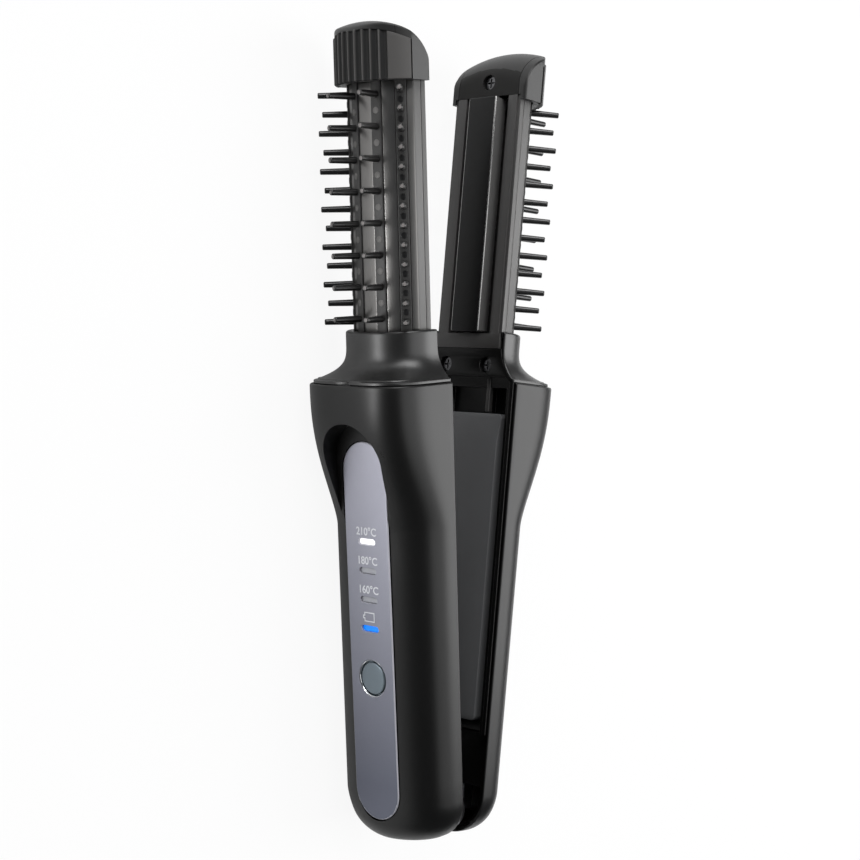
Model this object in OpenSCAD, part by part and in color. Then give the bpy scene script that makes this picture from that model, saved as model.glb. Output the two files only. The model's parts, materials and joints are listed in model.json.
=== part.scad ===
// Cordless hair volumizing iron: two hinged arms, each with a handle half,
// a round barrel with four rows of pins, and a flat heated plate inside.
// Each arm is drawn upright and closed, with +X pointing outwards from the
// parting plane, and is then mirrored or swung open and laid on its flat side.

/* [Opening] */
// Angle between the arms when the iron is let go
open_angle = 9; // [6:0.1:10]
// Height of the hinge axis above the tail
hinge_z = 6.8; // [6.6:0.1:8]
// Distance from the parting plane to each plate's face
plate_face = 1.4; // [1.2:0.1:1.8]

/* [Handle] */
// Width across the flat sides of the handle
grip_w = 39.5; // [39:0.1:44]
// Depth of one handle half at the middle of the panel
grip_depth = 18.8; // [18.4:0.1:20]
// Depth of one handle half at the shoulder
shoulder_depth = 27; // [25:0.1:29]
// Height of the top of the handle
casing_h = 128.2; // [125:0.1:140]
// Height of the shoulder's swelling
swell_h = 40.2; // [36:0.1:44]
// Lean of the panel and of the grip's outer face, in degrees
face_lean = 0.9; // [0:0.1:1.5]
// Thickness of the casing's wall
casing_wall = 2; // [1.6:0.1:2.4]
// Distance from the parting plane to the casing's edge
casing_edge = 3.7; // [3.5:0.1:4.2]
// Depth of the straight part of the side at the grip
grip_flat = 6; // [5:0.1:7]
// Depth of the straight part of the side at the shoulder
shoulder_flat = 10; // [8:0.1:12]
// Rounding of the tail seen from the side
tail_r_depth = 5.8; // [5:0.1:8]
// Rounding of the tail seen from the front
tail_r_width = 12; // [10:0.1:14]

/* [Panel] */
// Width of the control panel
panel_w = 16.5; // [16:0.1:18]
// Length of the control panel
panel_l = 106; // [100:0.5:108]
// Height of the middle of the control panel
panel_z = 59.4; // [58:0.1:60]
// Thickness of the panel at its middle
panel_t = 1.3; // [1.1:0.1:1.5]
// Depth of the panel below the grip's face
panel_sink = 0.45; // [0.2:0.05:0.6]
// Radius of the panel's crowned face
panel_crown_r = 90; // [80:5:200]
// Width of the thumb scoop around the panel's top end
scoop_w = 21.5; // [20:0.1:23]
// Distance from the thumb scoop's top to the top of the handle
scoop_drop = 10.3; // [9:0.1:13]
// Diameter of the power button
button_d = 9.4; // [9:0.1:10]
// Height of the power button
button_z = 46.5; // [42:0.1:50]
// Travel of the power button
button_travel = 0.5; // [0.3:0.1:0.8]
// Width of the ring around the power button
button_ring_w = 0.6; // [0.4:0.1:0.8]
// Width of an indicator window
indicator_w = 6.4; // [6:0.1:7]
// Height of an indicator window
indicator_h = 1.6; // [1.2:0.1:2]
// Height of the lowest indicator, the battery's
indicator_z = 60.5; // [59:0.1:61]
// Distance between neighbouring indicators
indicator_pitch = 8.1; // [7.5:0.1:8.5]

/* [Neck] */
// Height of the neck above the handle
neck_h = 13.8; // [13:0.1:18]
// Width of the neck at its top
neck_w = 28.4; // [27.4:0.1:30]
// Depth of the neck at its top
neck_depth = 18.3; // [17.4:0.1:19]
// Thickness of the neck's foot lip
lip_t = 1; // [0.8:0.1:1.4]
// Setback of the lip from the casing's edge
lip_inset = 1; // [0.8:0.1:1.4]
// Height of the neck's flare above the lip
neck_flare_h = 9; // [8:0.1:11]
// Thread diameter of every screw
screw_d = 2; // [1.8:0.1:2.4]
// Spacing of the neck screws
neck_screw_gap = 15.4; // [14.5:0.1:16]
// Height of the neck screws above the handle
neck_screw_rise = 4.7; // [4.4:0.1:5.2]

/* [Barrel] */
// Outer radius of the pin strips
barrel_r = 15.3; // [15:0.1:16]
// Width across the barrel's flat sides
barrel_w = 24.6; // [24:0.1:25.6]
// Distance from the parting plane to the barrel frame's inner face
frame_face = 3.6; // [3.4:0.1:4]
// Length of the barrel between the neck and the cap
barrel_l = 67; // [60:0.5:80]
// Depth of the metal shell below the pin strips' faces
shell_sink = 0.4; // [0.2:0.1:0.8]
// Thickness of the metal shell
shell_t = 2.5; // [2:0.1:3]
// Thickness of the frame's web behind the plate
web_t = 1.3; // [1:0.1:1.4]
// Distance from the parting plane to the frame's web
web_x = 8; // [7.8:0.1:8.2]

/* [Pins] */
// Diameter of a pin at its root
pin_d = 1.6; // [1.3:0.1:1.8]
// Diameter of a pin at its tip
pin_tip_d = 1.4; // [1.1:0.1:1.6]
// Pins in each of the two middle strips
middle_pins = 8; // [6:1:10]
// Pins in each of the two outer strips
outer_pins = 13; // [9:2:15]
// Length of a pin in a middle strip
middle_pin_l = 8.2; // [6:0.1:9]
// Length of every other pin in an outer strip
long_pin_l = 8; // [7:0.1:9]
// Length of the pins between them
short_pin_l = 6.9; // [5:0.1:7]
// Height of the lowest pin above the neck
pin_start = 2.7; // [2:0.1:4]
// Distance from the highest pin to the cap
pin_end = 2.5; // [2:0.1:5]

/* [Plate] */
// Width of the heater plate
plate_w = 10.5; // [10:0.1:11.4]
// Thickness of the heater plate's face
plate_t = 3; // [2:0.1:3.2]
// Distance that the plate can float inwards
plate_float = 0.8; // [0.4:0.1:1]
// Width of the opening in the frame around the plate
plate_slot_w = 16; // [15:0.1:17]

/* [Cap] */
// Height of the cap
cap_h = 16; // [15:0.1:20]
// Width of the cap
cap_w = 28.3; // [27.6:0.1:30]
// Depth of the cap from the parting plane
cap_depth = 19.5; // [19:0.1:21]
// Distance from the parting plane to the cap's inner face
cap_face = 3.6; // [3.4:0.1:4]
// Depth of the straight part of the cap's side
cap_flat = 10.5; // [9:0.1:12]
// Height of the cap's inner part above its lower edge
cap_lift = 1.4; // [0.8:0.1:2]
// Grooves on the cap's outer face
cap_grooves = 9; // [7:2:11]
// Distance between the grooves
rib_pitch = 2.5; // [2.2:0.1:2.8]
// Depth of the grooves between the ribs
rib_depth = 0.9; // [0.5:0.1:1]

/* [Inner block] */
// Distance from the handle's side to the block inside each half
block_side = 5.55; // [5.3:0.05:6]
// Height of the block's lower end
block_z0 = 32.3; // [31:0.1:36]
// Distance from the block's upper end to the top of the handle
block_drop = 9; // [8.8:0.1:12]
// Thickness of the block's and the liner's walls
liner_t = 1.2; // [1:0.1:1.4]
// Distance from the parting plane to the liner's floor
liner_floor = 8.1; // [7.9:0.1:8.3]
// Thickness of the battery
battery_t = 9; // [8:0.1:9.2]
// Width of the battery
battery_w = 22; // [20:0.1:24]
// Room left above and below the battery
battery_room = 5.6; // [4.6:0.1:9]

/* [Hinge] */
// Diameter of the hinge pin
hinge_pin_d = 3; // [2.5:0.1:3.4]
// Outer radius of the hinge knuckles
knuckle_r = 4; // [3.8:0.1:4.2]
// Length of the hinge pin
hinge_pin_l = 28; // [27:0.1:29]
// Wire diameter of the opening spring
spring_wire = 0.9; // [0.7:0.1:1]
// Turns of the opening spring
spring_turns = 5; // [4:1:5]

/* [Hidden] */
$fn = 48;

// Clearances
fit = 0.15;         // between parts that slip into each other
run = 0.05;         // radial, between a pin and its bore
eps = 0.01;
over = 1;           // how far a cutting shape reaches past what it cuts

// Section roundness: exponents of the superellipse that rounds the front corners
grip_round = 2.2;
shoulder_round = 3.1;
tail_round = 1.8;
neck_round = 2;
ring_steps = 24;

// Heights that follow from the lengths above
flare_z = casing_h - swell_h;
neck_top = casing_h + neck_h;
neck_screw_z = casing_h + neck_screw_rise;
barrel_top = neck_top + barrel_l;
block_z1 = casing_h - block_drop;
block_w = grip_w - 2 * block_side;
scoop_top = casing_h - scoop_drop;
scoop_foot_z = flare_z - 8;

// Handle edges
grip_half = grip_w / 2;
rabbet_x = casing_edge + 2.95;          // how deep the liner's rim sits in the casing
rim_out = 1;                            // from the casing's side to the liner's rim
rim_t = 1.35;
rim_x = casing_edge - 0.4;
rim_z0 = 29;
liner_z0 = 14;
lip_top = casing_h + lip_t;
flare_top = lip_top + neck_flare_h;
screw_face_z0 = lip_top + 0.4;
screw_face_z1 = neck_top - 4.4;
screw_face_t = 2.6;

// Panel frame: u = 0 is the middle of the panel's face
panel_x = grip_depth - panel_sink;
panel_back = -panel_t;
board_u = panel_back - 3.2;             // outer face of the circuit board
board_t = 1.2;
board_w = 24;
board_z0 = 28 - panel_l / 2;
board_z1 = panel_l / 2 + 2;
board_tail_z = 3.6 - panel_l / 2;
led_t = 1;
plunger_d = 3;
seat_t = 1.2;                           // ledge under the panel
scoop_wall = 1.5;
button_proud = 0.2;

// Charging socket in the tail of the front arm
socket_x = 6.5;
socket_w = 9;
socket_h = 3.2;
socket_l = 7.4;
socket_z0 = 0.9;
socket_foot_x = panel_x + board_u - board_t + (board_tail_z * tan(face_lean)) - fit;

// Barrel
shell_r = barrel_r - shell_sink;
rail_angle = 24.5;                      // where the side rails end, from the Y axis
strip_seat_r = shell_r - 1.4;
strip_z0 = neck_top - 2;
strip_z1 = barrel_top + cap_lift - 0.1;
middle_strip = [68.7, 80.1];
outer_strip = [42.3, 53.7];
middle_lean = 13.5;                     // pins of a middle strip from the X axis
outer_lean = 42;
middle_inset = 0.9;                     // how much nearer the middle the end pins of a middle strip are
rail_step = 1;                          // ledge along the outer edge of each rail
rail_step_t = 0.4;
web_half = plate_slot_w / 2 + 0.1;
tongue_half = 6;
plate_z0 = neck_top + 0.3;
plate_z1 = barrel_top + cap_lift - 0.4;
heater_t = 1.7;
heater_w = 8.4;

// Hinge, from the middle outwards
spring_half = 3.4;
knuckle_in = [3.7, 9.3];
knuckle_out = [9.6, 13];
bracket_x = 9.2;
bracket_t = 1.6;
front_bracket_screw_z = 18;
rear_bracket_screw_z = 22;

// Screws, their posts, and wires
head_d = 4.2;
head_t = 1;
head_sink = 1;
post_d = 4.6;
lead_d = 1.2;

// Battery, which lies in the rear arm's inner block
battery_x = rim_x + liner_t + 0.2;
battery_z = block_z0 + battery_room;
battery_l = block_z1 - battery_room - battery_z;

// Closing takes the arms a little past parallel, until the plates' tips all but meet
tip_gap = 0.1;
swing = open_angle + 2 * atan((plate_face - tip_gap) / (plate_z1 - hinge_z));

// Where the whole lies, so that its base is centred on the origin
low_x = -shoulder_depth;
high_x = max(
    swung([cap_depth, barrel_top + cap_h - 4])[0],
    swung([strip_tip_x(), barrel_top - pin_end])[0]
);
low_z = min(0, hinge_z + (tail_r_depth - hinge_z) * cos(open_angle)
    - (lean_depth(0) - tail_r_depth) * sin(open_angle) - tail_r_depth);
high_z = barrel_top + cap_h;

function clamp(v, a, b) = max(a, min(b, v));
function mix(a, b, t) = a + (b - a) * t;
function swung(p) = [
    p[0] * cos(open_angle) + (p[1] - hinge_z) * sin(open_angle),
    hinge_z - p[0] * sin(open_angle) + (p[1] - hinge_z) * cos(open_angle)
];
function strip_mid(span) = (span[0] + span[1]) / 2;
function strip_tip_x() = barrel_r * sin(strip_mid(middle_strip)) + middle_pin_l * cos(middle_lean);

// The casing's outer form: its swelling at the shoulder and its rounded tail
function swell(z) = clamp((z - flare_z) / (casing_h - flare_z), 0, 1);
function swell_ease(z) = 1 - pow(1 - pow(swell(z), 1.4), 2.6);
function lean_depth(z) = grip_depth + (min(z, flare_z) - panel_z) * tan(face_lean);
function inset(z, r) = z < r ? r - sqrt(r * r - (r - z) * (r - z)) : 0;
function casing_depth(z) = mix(lean_depth(z), shoulder_depth, swell_ease(z)) - inset(z, tail_r_depth);
function casing_half(z) = grip_half - inset(z, tail_r_width);
function casing_flat(z) = min(mix(grip_flat, shoulder_flat, swell_ease(z)), 0.4 * casing_depth(z));
function casing_round(z) = z < tail_r_width
    ? mix(tail_round, grip_round, z / tail_r_width)
    : mix(grip_round, shoulder_round, swell_ease(z));

// The neck's outer form
function flare(z, power) = z >= flare_top ? 0 : pow((flare_top - max(z, lip_top)) / neck_flare_h, power);
function lip_half() = grip_half - lip_inset;
function neck_half(z) = z <= lip_top ? lip_half()
    : mix(neck_w / 2, lip_half() - 0.4, flare(z, 2));
function neck_out(z) = z <= lip_top ? shoulder_depth - lip_inset
    : mix(neck_depth, shoulder_depth - lip_inset - 0.4, flare(z, 3));
function neck_flat(z) = mix(grip_flat, shoulder_flat, flare(z, 3));
function neck_roundness(z) = mix(neck_round, shoulder_round, flare(z, 3));

// One level outline: a straight inner edge, flat sides and a rounded front
function ring(z, edge, flat, depth, half, round) = concat(
    [[edge, -half, z]],
    [for (i = [0 : ring_steps])
        let (t = 180 * i / ring_steps)
        [flat + (depth - flat) * pow(sin(t), 2 / round),
         -sign(cos(t)) * half * pow(abs(cos(t)), 2 / round), z]],
    [[edge, half, z]]
);
function casing_ring(z, edge, wall, at) =
    ring(z, edge, casing_flat(at) - wall / 2, casing_depth(at) - wall, casing_half(at) - wall,
         casing_round(at));
function neck_ring(z, edge, wall, at) =
    ring(z, edge, neck_flat(at), neck_out(at) - wall, neck_half(at) - wall, neck_roundness(at));

module loft(rings) {
    count = len(rings[0]);
    last = len(rings) - 1;
    polyhedron(
        points = [for (r = rings) each r],
        faces = concat(
            [[for (j = [0 : count - 1]) j]],
            [[for (j = [count - 1 : -1 : 0]) last * count + j]],
            [for (i = [0 : last - 1], j = [0 : count - 1])
                let (k = (j + 1) % count)
                [i * count + j, (i + 1) * count + j, (i + 1) * count + k, i * count + k]]
        ),
        convexity = 6
    );
}

// Extrusions along X and Y, and placing helpers
module along_x(x0, x1) {
    translate([x0, 0, 0]) rotate([90, 0, 90]) linear_extrude(x1 - x0, convexity = 6) children();
}
module along_y(y0, y1) {
    translate([0, y1, 0]) rotate([90, 0, 0]) linear_extrude(y1 - y0, convexity = 6) children();
}
module both_sides() {
    children();
    mirror([0, 1, 0]) children();
}
module block(x, y, z) {
    translate([x[0], y[0], z[0]]) cube([x[1] - x[0], y[1] - y[0], z[1] - z[0]]);
}
module stadium(w, l) {
    straight = l - w;
    translate([-w / 2, -straight / 2]) square([w, straight]);
    translate([0, straight / 2]) circle(d = w);
    translate([0, -straight / 2]) circle(d = w);
}
module rod(x0, x1, y, z, d) {
    translate([x0, y, z]) rotate([0, 90, 0]) cylinder(h = x1 - x0, d = d);
}
module on_panel() {
    translate([panel_x, 0, panel_z]) rotate([0, face_lean, 0]) children();
}
module lay_down() {
    translate([-(low_x + high_x) / 2, -(low_z + high_z) / 2, grip_half]) rotate([-90, 0, 0]) children();
}
module front() {
    lay_down() mirror([1, 0, 0]) children();
}
module rear() {
    lay_down() translate([0, 0, hinge_z]) rotate([0, open_angle, 0]) translate([0, 0, -hinge_z]) children();
}

// Casing
function tail_levels() = [for (a = [0 : 15 : 90]) tail_r_width * (1 - cos(a))];
function shoulder_levels() = [for (i = [0 : 10]) mix(flare_z, casing_h, i / 10)];
module casing_form() {
    loft([for (z = concat(tail_levels(), shoulder_levels())) casing_ring(z, casing_edge, 0, z)]);
}
module casing_hollow() {
    levels = concat(tail_levels(), shoulder_levels(), [casing_h + over]);
    loft([for (z = levels)
        casing_ring(z == 0 ? casing_wall : max(z, casing_wall + z / 20), casing_edge - over, casing_wall, z)]);
}
module liner_outline(grow, z0) {
    top = screw_face_z1;
    low = [[grip_half - rim_out, z0], [grip_half - rim_out, casing_h]];
    curve = [for (z = concat([lip_top + 0.1], [for (i = [1 : 8]) mix(lip_top, top, i / 8)]))
        [neck_half(z) - rim_out, z]];
    side = concat(low, curve);
    last = len(side) - 1;
    offset_side = [for (p = side) [p[0] + grow, p[1] + (p[1] == top ? grow : 0) - (p[1] == z0 ? grow : 0)]];
    polygon(concat(offset_side, [for (i = [last : -1 : 0]) [-offset_side[i][0], offset_side[i][1]]]));
}
module casing_shell() {
    difference() {
        casing_form();
        casing_hollow();
        along_x(casing_edge - over, rabbet_x) liner_outline(fit, liner_z0);
    }
}
function surface_x(y, z) = let (n = casing_round(z))
    mix(casing_flat(z), casing_depth(z), pow(1 - pow(y / casing_half(z), n), 1 / n));
module screw_post(x, y, z) {
    difference() {
        rod(x, surface_x(y + post_d / 2, z) - 0.5, y, z, post_d);
        rod(x - over, x + 3, y, z, screw_d);
    }
}

// Liner: rim that edges the casing, tray, and the face that takes the neck screws
module liner() {
    plate_x = rabbet_x - fit;
    tray_half = grip_half - casing_wall - 1.7;
    tray_top = casing_h - 0.4 - liner_t;
    difference() {
        union() {
            along_x(rim_x, plate_x) liner_outline(0, liner_z0);
            block([plate_x - eps, liner_floor + liner_t], [-tray_half, tray_half],
                  [rim_z0 - liner_t, tray_top + liner_t]);
        }
        // the shallow step inside the rim, which has no rim below its lower end
        along_x(rim_x - over, plate_x - liner_t) intersection() {
            liner_outline(-rim_t, liner_z0 - over);
            translate([-grip_half, 0]) square([grip_w, screw_face_z0]);
        }
        block([rim_x - over, plate_x - liner_t], [-grip_half, grip_half], [0, rim_z0]);
        block([rim_x, liner_floor], [-tray_half + liner_t, tray_half - liner_t], [rim_z0, tray_top]);
        along_x(rim_x, liner_floor + liner_t + over) block_outline(fit);
        block([rim_x + screw_face_t, plate_x + over], [-grip_half, grip_half], [screw_face_z0 + eps, neck_top]);
        both_sides() {
            rod(rim_x - over, rim_x + head_sink + head_t, neck_screw_gap / 2, neck_screw_z, head_d + 2 * fit);
            rod(rim_x, plate_x + over, neck_screw_gap / 2, neck_screw_z, screw_d + 2 * fit);
        }
    }
    both_sides() block([plate_x, liner_floor + eps], [7.3, 8.7], [block_z1 + 0.3, tray_top + eps]);
}

// Inner block: a box with rounded edges that fills the liner's window
module block_outline(grow) {
    r = 1.5;
    w = block_w + 2 * grow;
    translate([0, (block_z0 + block_z1) / 2]) {
        l = block_z1 - block_z0 + 2 * grow;
        square([w - 2 * r, l], center = true);
        square([w, l - 2 * r], center = true);
        for (sy = [-1, 1], sz = [-1, 1]) translate([sy * (w / 2 - r), sz * (l / 2 - r)]) circle(r = r);
    }
}
module inner_block() {
    wall = liner_t;
    flange = 1.2;
    slope_z = block_z1 - 8.1;
    difference() {
        union() {
            along_x(rim_x, liner_floor + liner_t + fit + flange) block_outline(0);
            along_x(liner_floor + liner_t + fit, liner_floor + liner_t + fit + flange)
                translate([0, (block_z0 + block_z1) / 2])
                    square([block_w + 2 * flange, block_z1 - block_z0 + 2 * flange], center = true);
        }
        block([rim_x + wall, liner_floor + 10], [-block_w / 2 + wall, block_w / 2 - wall],
              [block_z0 + wall, block_z1 - wall - 2.4]);
        // the block's upper end falls away from the parting plane
        along_y(-grip_half, grip_half)
            polygon([[rim_x - over, slope_z], [rim_x, slope_z], [rim_x + 1.8, block_z1 + over], [rim_x - over, block_z1 + over]]);
    }
}

// Neck
function neck_levels() = concat([casing_h, lip_top],
    [for (a = [10 : 16 : 90]) flare_top - neck_flare_h * cos(a)], [neck_top]);
module neck() {
    wall = 1.8;
    hollow_top = flare_top - 1;
    difference() {
        union() {
            loft([for (z = neck_levels()) neck_ring(z, casing_edge - 0.4, 0, z)]);
            // skirt that plugs into the casing behind the liner
            intersection() {
                loft([for (z = [casing_h - 4, casing_h + lip_t / 2])
                    casing_ring(z, casing_edge, casing_wall + fit, casing_h - 4)]);
                block([liner_floor + liner_t + 0.6, shoulder_depth], [-grip_half, grip_half], [casing_h - 4, lip_top]);
            }
        }
        translate([0, 0, casing_h - 5]) linear_extrude(neck_top) barrel_outline(fit);
        loft([for (z = concat([casing_h - 5], [for (i = [0 : 6]) mix(lip_top, hollow_top, i / 6)]))
            neck_ring(z, casing_edge - over, wall + 0.6, max(z, lip_top + 0.2))]);
        along_x(-over, rabbet_x) liner_outline(fit, liner_z0);
        block([-over, frame_face + 4], [-barrel_w / 2 - fit, barrel_w / 2 + fit], [casing_h, neck_top + over]);
    }
}

// Barrel
module barrel_outline(grow) {
    intersection() {
        circle(r = barrel_r + grow, $fn = 96);
        translate([frame_face - grow, -barrel_w / 2 - grow]) square([barrel_r, barrel_w + 2 * grow]);
    }
}
module sector(a0, a1) {
    reach = 2 * barrel_r;
    polygon(concat([[0, 0]], [for (i = [0 : 4]) let (a = mix(a0, a1, i / 4)) reach * [sin(a), -cos(a)]]));
}
module barrel_ring(r0, r1, a0, a1) {
    intersection() {
        difference() {
            circle(r = r1, $fn = 96);
            circle(r = r0, $fn = 96);
        }
        sector(a0, a1);
    }
}
module rail_outline() {
    // rail, its ledge, and the leg that joins it to the web
    slot_half = plate_slot_w / 2;
    difference() {
        union() {
            intersection() {
                barrel_outline(0);
                sector(0, rail_angle);
                translate([0, -barrel_r]) square([barrel_r, barrel_r - slot_half]);
            }
            translate([frame_face, -10.4]) square([1.2, 10.4 - slot_half]);
            translate([frame_face, -slot_half - 0.8]) square([web_x + 0.6 - frame_face, 0.8]);
        }
        translate([0, -barrel_w / 2 - over]) square([frame_face + rail_step_t, rail_step + over]);
    }
}
module barrel_frame() {
    foot_x = rim_x + screw_face_t;
    end_z = cap_screw_z() + 2.4;
    difference() {
        union() {
            translate([0, 0, neck_top - 0.3]) linear_extrude(strip_z1 - neck_top + 0.3)
                both_sides() rail_outline();
            block([web_x, web_x + web_t], [-web_half, web_half], [screw_face_z0 + 2, plate_z1 + 1]);
            block([web_x, web_x + web_t], [-tongue_half, tongue_half], [plate_z1, end_z]);
            block([frame_face - 0.4, 4.8], [-barrel_w / 2, barrel_w / 2], [screw_face_z1 + 0.1, neck_top - 0.1]);
            block([4.8 - eps, web_x + eps], [-web_half, web_half], [screw_face_z1 + 0.1, neck_top - 0.1]);
            block([foot_x, web_x + web_t], [-11.4, 11.4], [screw_face_z0 + 0.2, screw_face_z1 + 0.2]);
            block([cap_boss_x(), web_x + web_t], [-tongue_half, tongue_half], [plate_z1 + 0.4, end_z]);
        }
        both_sides() rod(foot_x - over, web_x + web_t + over, neck_screw_gap / 2, neck_screw_z, screw_d);
        rod(cap_boss_x() - over, web_x + web_t + over, 0, cap_screw_z(), screw_d);
    }
}
module barrel_shell() {
    edge = rail_angle + 0.7;
    z0 = neck_top - 3;
    land_w = heater_w + 1;
    difference() {
        translate([0, 0, z0]) linear_extrude(strip_z1 - z0) {
            intersection() {
                barrel_ring(shell_r - shell_t, shell_r, edge, 180 - edge);
                translate([0, -barrel_w / 2]) square([barrel_r, barrel_w]);
            }
            // flat land that the shell's heater is pressed against
            intersection() {
                circle(r = shell_r - shell_t / 2, $fn = 96);
                translate([shell_land_x(), -land_w / 2]) square([shell_t, land_w]);
            }
        }
        for (span = [middle_strip, outer_strip]) both_sides()
            translate([0, 0, z0 - over]) linear_extrude(barrel_top + 30)
                barrel_ring(strip_seat_r - fit, barrel_r + over, span[0] - 0.6, span[1] + 0.6);
    }
}
function shell_land_x() = shell_r - shell_t - 1.2;

// Pin strips, numbered from one side rail round to the other
function pin_z(i, count, inset) = mix(neck_top + pin_start + inset, barrel_top - pin_end - inset, i / (count - 1));
module pin(length) {
    sunk = 1;
    translate([0, 0, -sunk]) cylinder(h = length + sunk - pin_tip_d / 2, d1 = pin_d, d2 = pin_tip_d, $fn = 24);
    translate([0, 0, length - pin_tip_d / 2]) sphere(d = pin_tip_d, $fn = 24);
}
module pin_row(span, lean, count, lengths, inset) {
    mid = strip_mid(span);
    translate([0, 0, strip_z0]) linear_extrude(strip_z1 - strip_z0)
        barrel_ring(strip_seat_r, barrel_r, span[0], span[1]);
    for (i = [0 : count - 1])
        translate([barrel_r * sin(mid), -barrel_r * cos(mid), pin_z(i, count, inset)])
            rotate([0, 0, -lean]) rotate([0, 90, 0]) pin(lengths[i % len(lengths)]);
}
module pin_strip(number) {
    if (number == 1) pin_row(outer_strip, outer_lean, outer_pins, [long_pin_l, short_pin_l], 0);
    if (number == 2) pin_row(middle_strip, middle_lean, middle_pins, [middle_pin_l], middle_inset);
    if (number == 3) mirror([0, 1, 0]) pin_row(middle_strip, middle_lean, middle_pins, [middle_pin_l], middle_inset);
    if (number == 4) mirror([0, 1, 0]) pin_row(outer_strip, outer_lean, outer_pins, [long_pin_l, short_pin_l], 0);
}

// Heater plate, which floats on leaf springs, and the heaters
module heater_plate() {
    wall = 0.8;
    translate([plate_face, 0, plate_z0]) linear_extrude(plate_z1 - plate_z0) difference() {
        translate([0, -plate_w / 2]) square([plate_t + heater_t, plate_w]);
        translate([plate_t, -plate_w / 2 + wall]) square([heater_t + over, plate_w - 2 * wall]);
    }
}
module plate_heater() {
    x0 = plate_face + plate_t;
    block([x0, x0 + heater_t], [-heater_w / 2, heater_w / 2], [plate_z0 + 3, plate_z1 - 3]);
}
module plate_springs() {
    // two bowed leaves that stop short of the heater's back by the plate's travel
    rise = web_x - plate_face - plate_t - heater_t - plate_float - 0.05;
    span = 9;
    thick = 0.25;
    bow_r = (span * span / 4 + rise * rise) / (2 * rise);
    for (z = [mix(plate_z0, plate_z1, 0.22), mix(plate_z0, plate_z1, 0.78)])
        translate([web_x, 0, z]) along_y(-2.5, 2.5)
            intersection() {
                translate([bow_r - rise, 0]) difference() {
                    circle(r = bow_r, $fn = 96);
                    circle(r = bow_r - thick, $fn = 96);
                }
                translate([-rise - over, -span / 2]) square([rise + over, span]);
            }
}
module shell_heater() {
    x1 = shell_land_x();
    block([x1 - heater_t, x1], [-heater_w / 2, heater_w / 2], [plate_z0 + 3, plate_z1 - 3]);
}
module heater_leads() {
    z0 = block_z1 + 1.6;
    both_sides() translate([shell_land_x() - heater_t / 2 + 0.05, 3, z0])
        cylinder(h = plate_z0 + 3 - z0, d = lead_d, $fn = 24);
}

// Cap: an inner part with the screw, sides, a crowned top, and a ribbed grip outside
inner_cap_half = 11.5;
cap_wall = 2.6;
grip_proud = 0.4;
crown_r = 39;
function cap_boss_x() = cap_face + cap_wall + 0.1;
function cap_screw_z() = barrel_top + 5.6;
function cap_body_depth() = cap_depth - grip_proud;
function cap_center() = (pow(cap_body_depth(), 2) - pow(cap_flat, 2) - pow(cap_w / 2, 2))
    / (2 * (cap_body_depth() - cap_flat));
module cap_arc(proud) {
    translate([cap_center(), 0]) circle(r = cap_body_depth() - cap_center() + proud, $fn = 144);
}
module cap_crown() {
    // the side view's outline swung about an axis along X, so that the top is crowned both ways
    peak_z = barrel_top + cap_h;
    peak_x = 14.5;
    rise = 8.9;
    drop = 4.6;
    power = 1.8;
    reach = peak_x - cap_face;
    end = cap_depth + 0.4 - peak_x;
    outline = concat(
        [[cap_face - eps, 0]],
        [for (a = [0 : 7.5 : 90]) [peak_x - reach * pow(cos(a), 2 / power),
                                   crown_r - rise + rise * pow(sin(a), 2 / power)]],
        [for (a = [82.5 : -7.5 : 0]) [peak_x + end * cos(a), crown_r + drop * (sin(a) - 1)]],
        [[cap_depth + 0.4, 0]]
    );
    translate([0, 0, peak_z - crown_r]) rotate([0, 90, 0]) rotate_extrude($fn = 180)
        polygon([for (p = outline) [p[1], p[0]]]);
}
module cap_ribs_cut() {
    groove_r = 1.1;
    grip_r = cap_body_depth() - cap_center() + grip_proud;
    rib_top = barrel_top + cap_h - 2.9;
    for (i = [0 : cap_grooves - 1])
        translate([cap_center(), 0, barrel_top - over])
            rotate([0, 0, (i - (cap_grooves - 1) / 2) * rib_pitch / grip_r * 180 / PI])
                translate([grip_r + groove_r - rib_depth, 0, 0])
                    cylinder(h = rib_top - barrel_top + over, r = groove_r, $fn = 20);
}
module cap() {
    hollow_top = barrel_top + 6.2;
    boss_top = cap_screw_z() + 2.6;
    difference() {
        union() {
            intersection() {
                translate([0, 0, barrel_top]) linear_extrude(cap_h) intersection() {
                    cap_arc(0);
                    translate([cap_face, -cap_w / 2]) square([cap_depth, cap_w]);
                }
                cap_crown();
            }
            intersection() {
                translate([0, 0, barrel_top]) linear_extrude(cap_h) intersection() {
                    cap_arc(grip_proud);
                    translate([cap_flat, -cap_w]) square([cap_depth, 2 * cap_w]);
                }
                translate([0, 0, -0.9]) cap_crown();
            }
        }
        // hollow: the barrel's end below, and room for the frame's tongue behind the screw
        translate([0, 0, barrel_top - over]) linear_extrude(cap_lift + over) barrel_outline(fit);
        intersection() {
            translate([0, 0, barrel_top]) linear_extrude(hollow_top - barrel_top) barrel_outline(fit);
            block([cap_face + cap_wall, cap_depth], [-cap_w / 2, cap_w / 2], [barrel_top, hollow_top]);
        }
        block([cap_face + cap_wall, web_x + web_t + 1.6], [-tongue_half - 0.2, tongue_half + 0.2], [barrel_top, boss_top]);
        block([cap_face - over, cap_face + cap_wall + eps], [-inner_cap_half, inner_cap_half], [barrel_top - over, barrel_top + cap_lift]);
        cap_ribs_cut();
        rod(cap_face - over, cap_face + head_sink + head_t, 0, cap_screw_z(), head_d + 2 * fit);
        rod(cap_face, cap_face + cap_wall + over, 0, cap_screw_z(), screw_d + 2 * fit);
    }
}

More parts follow.
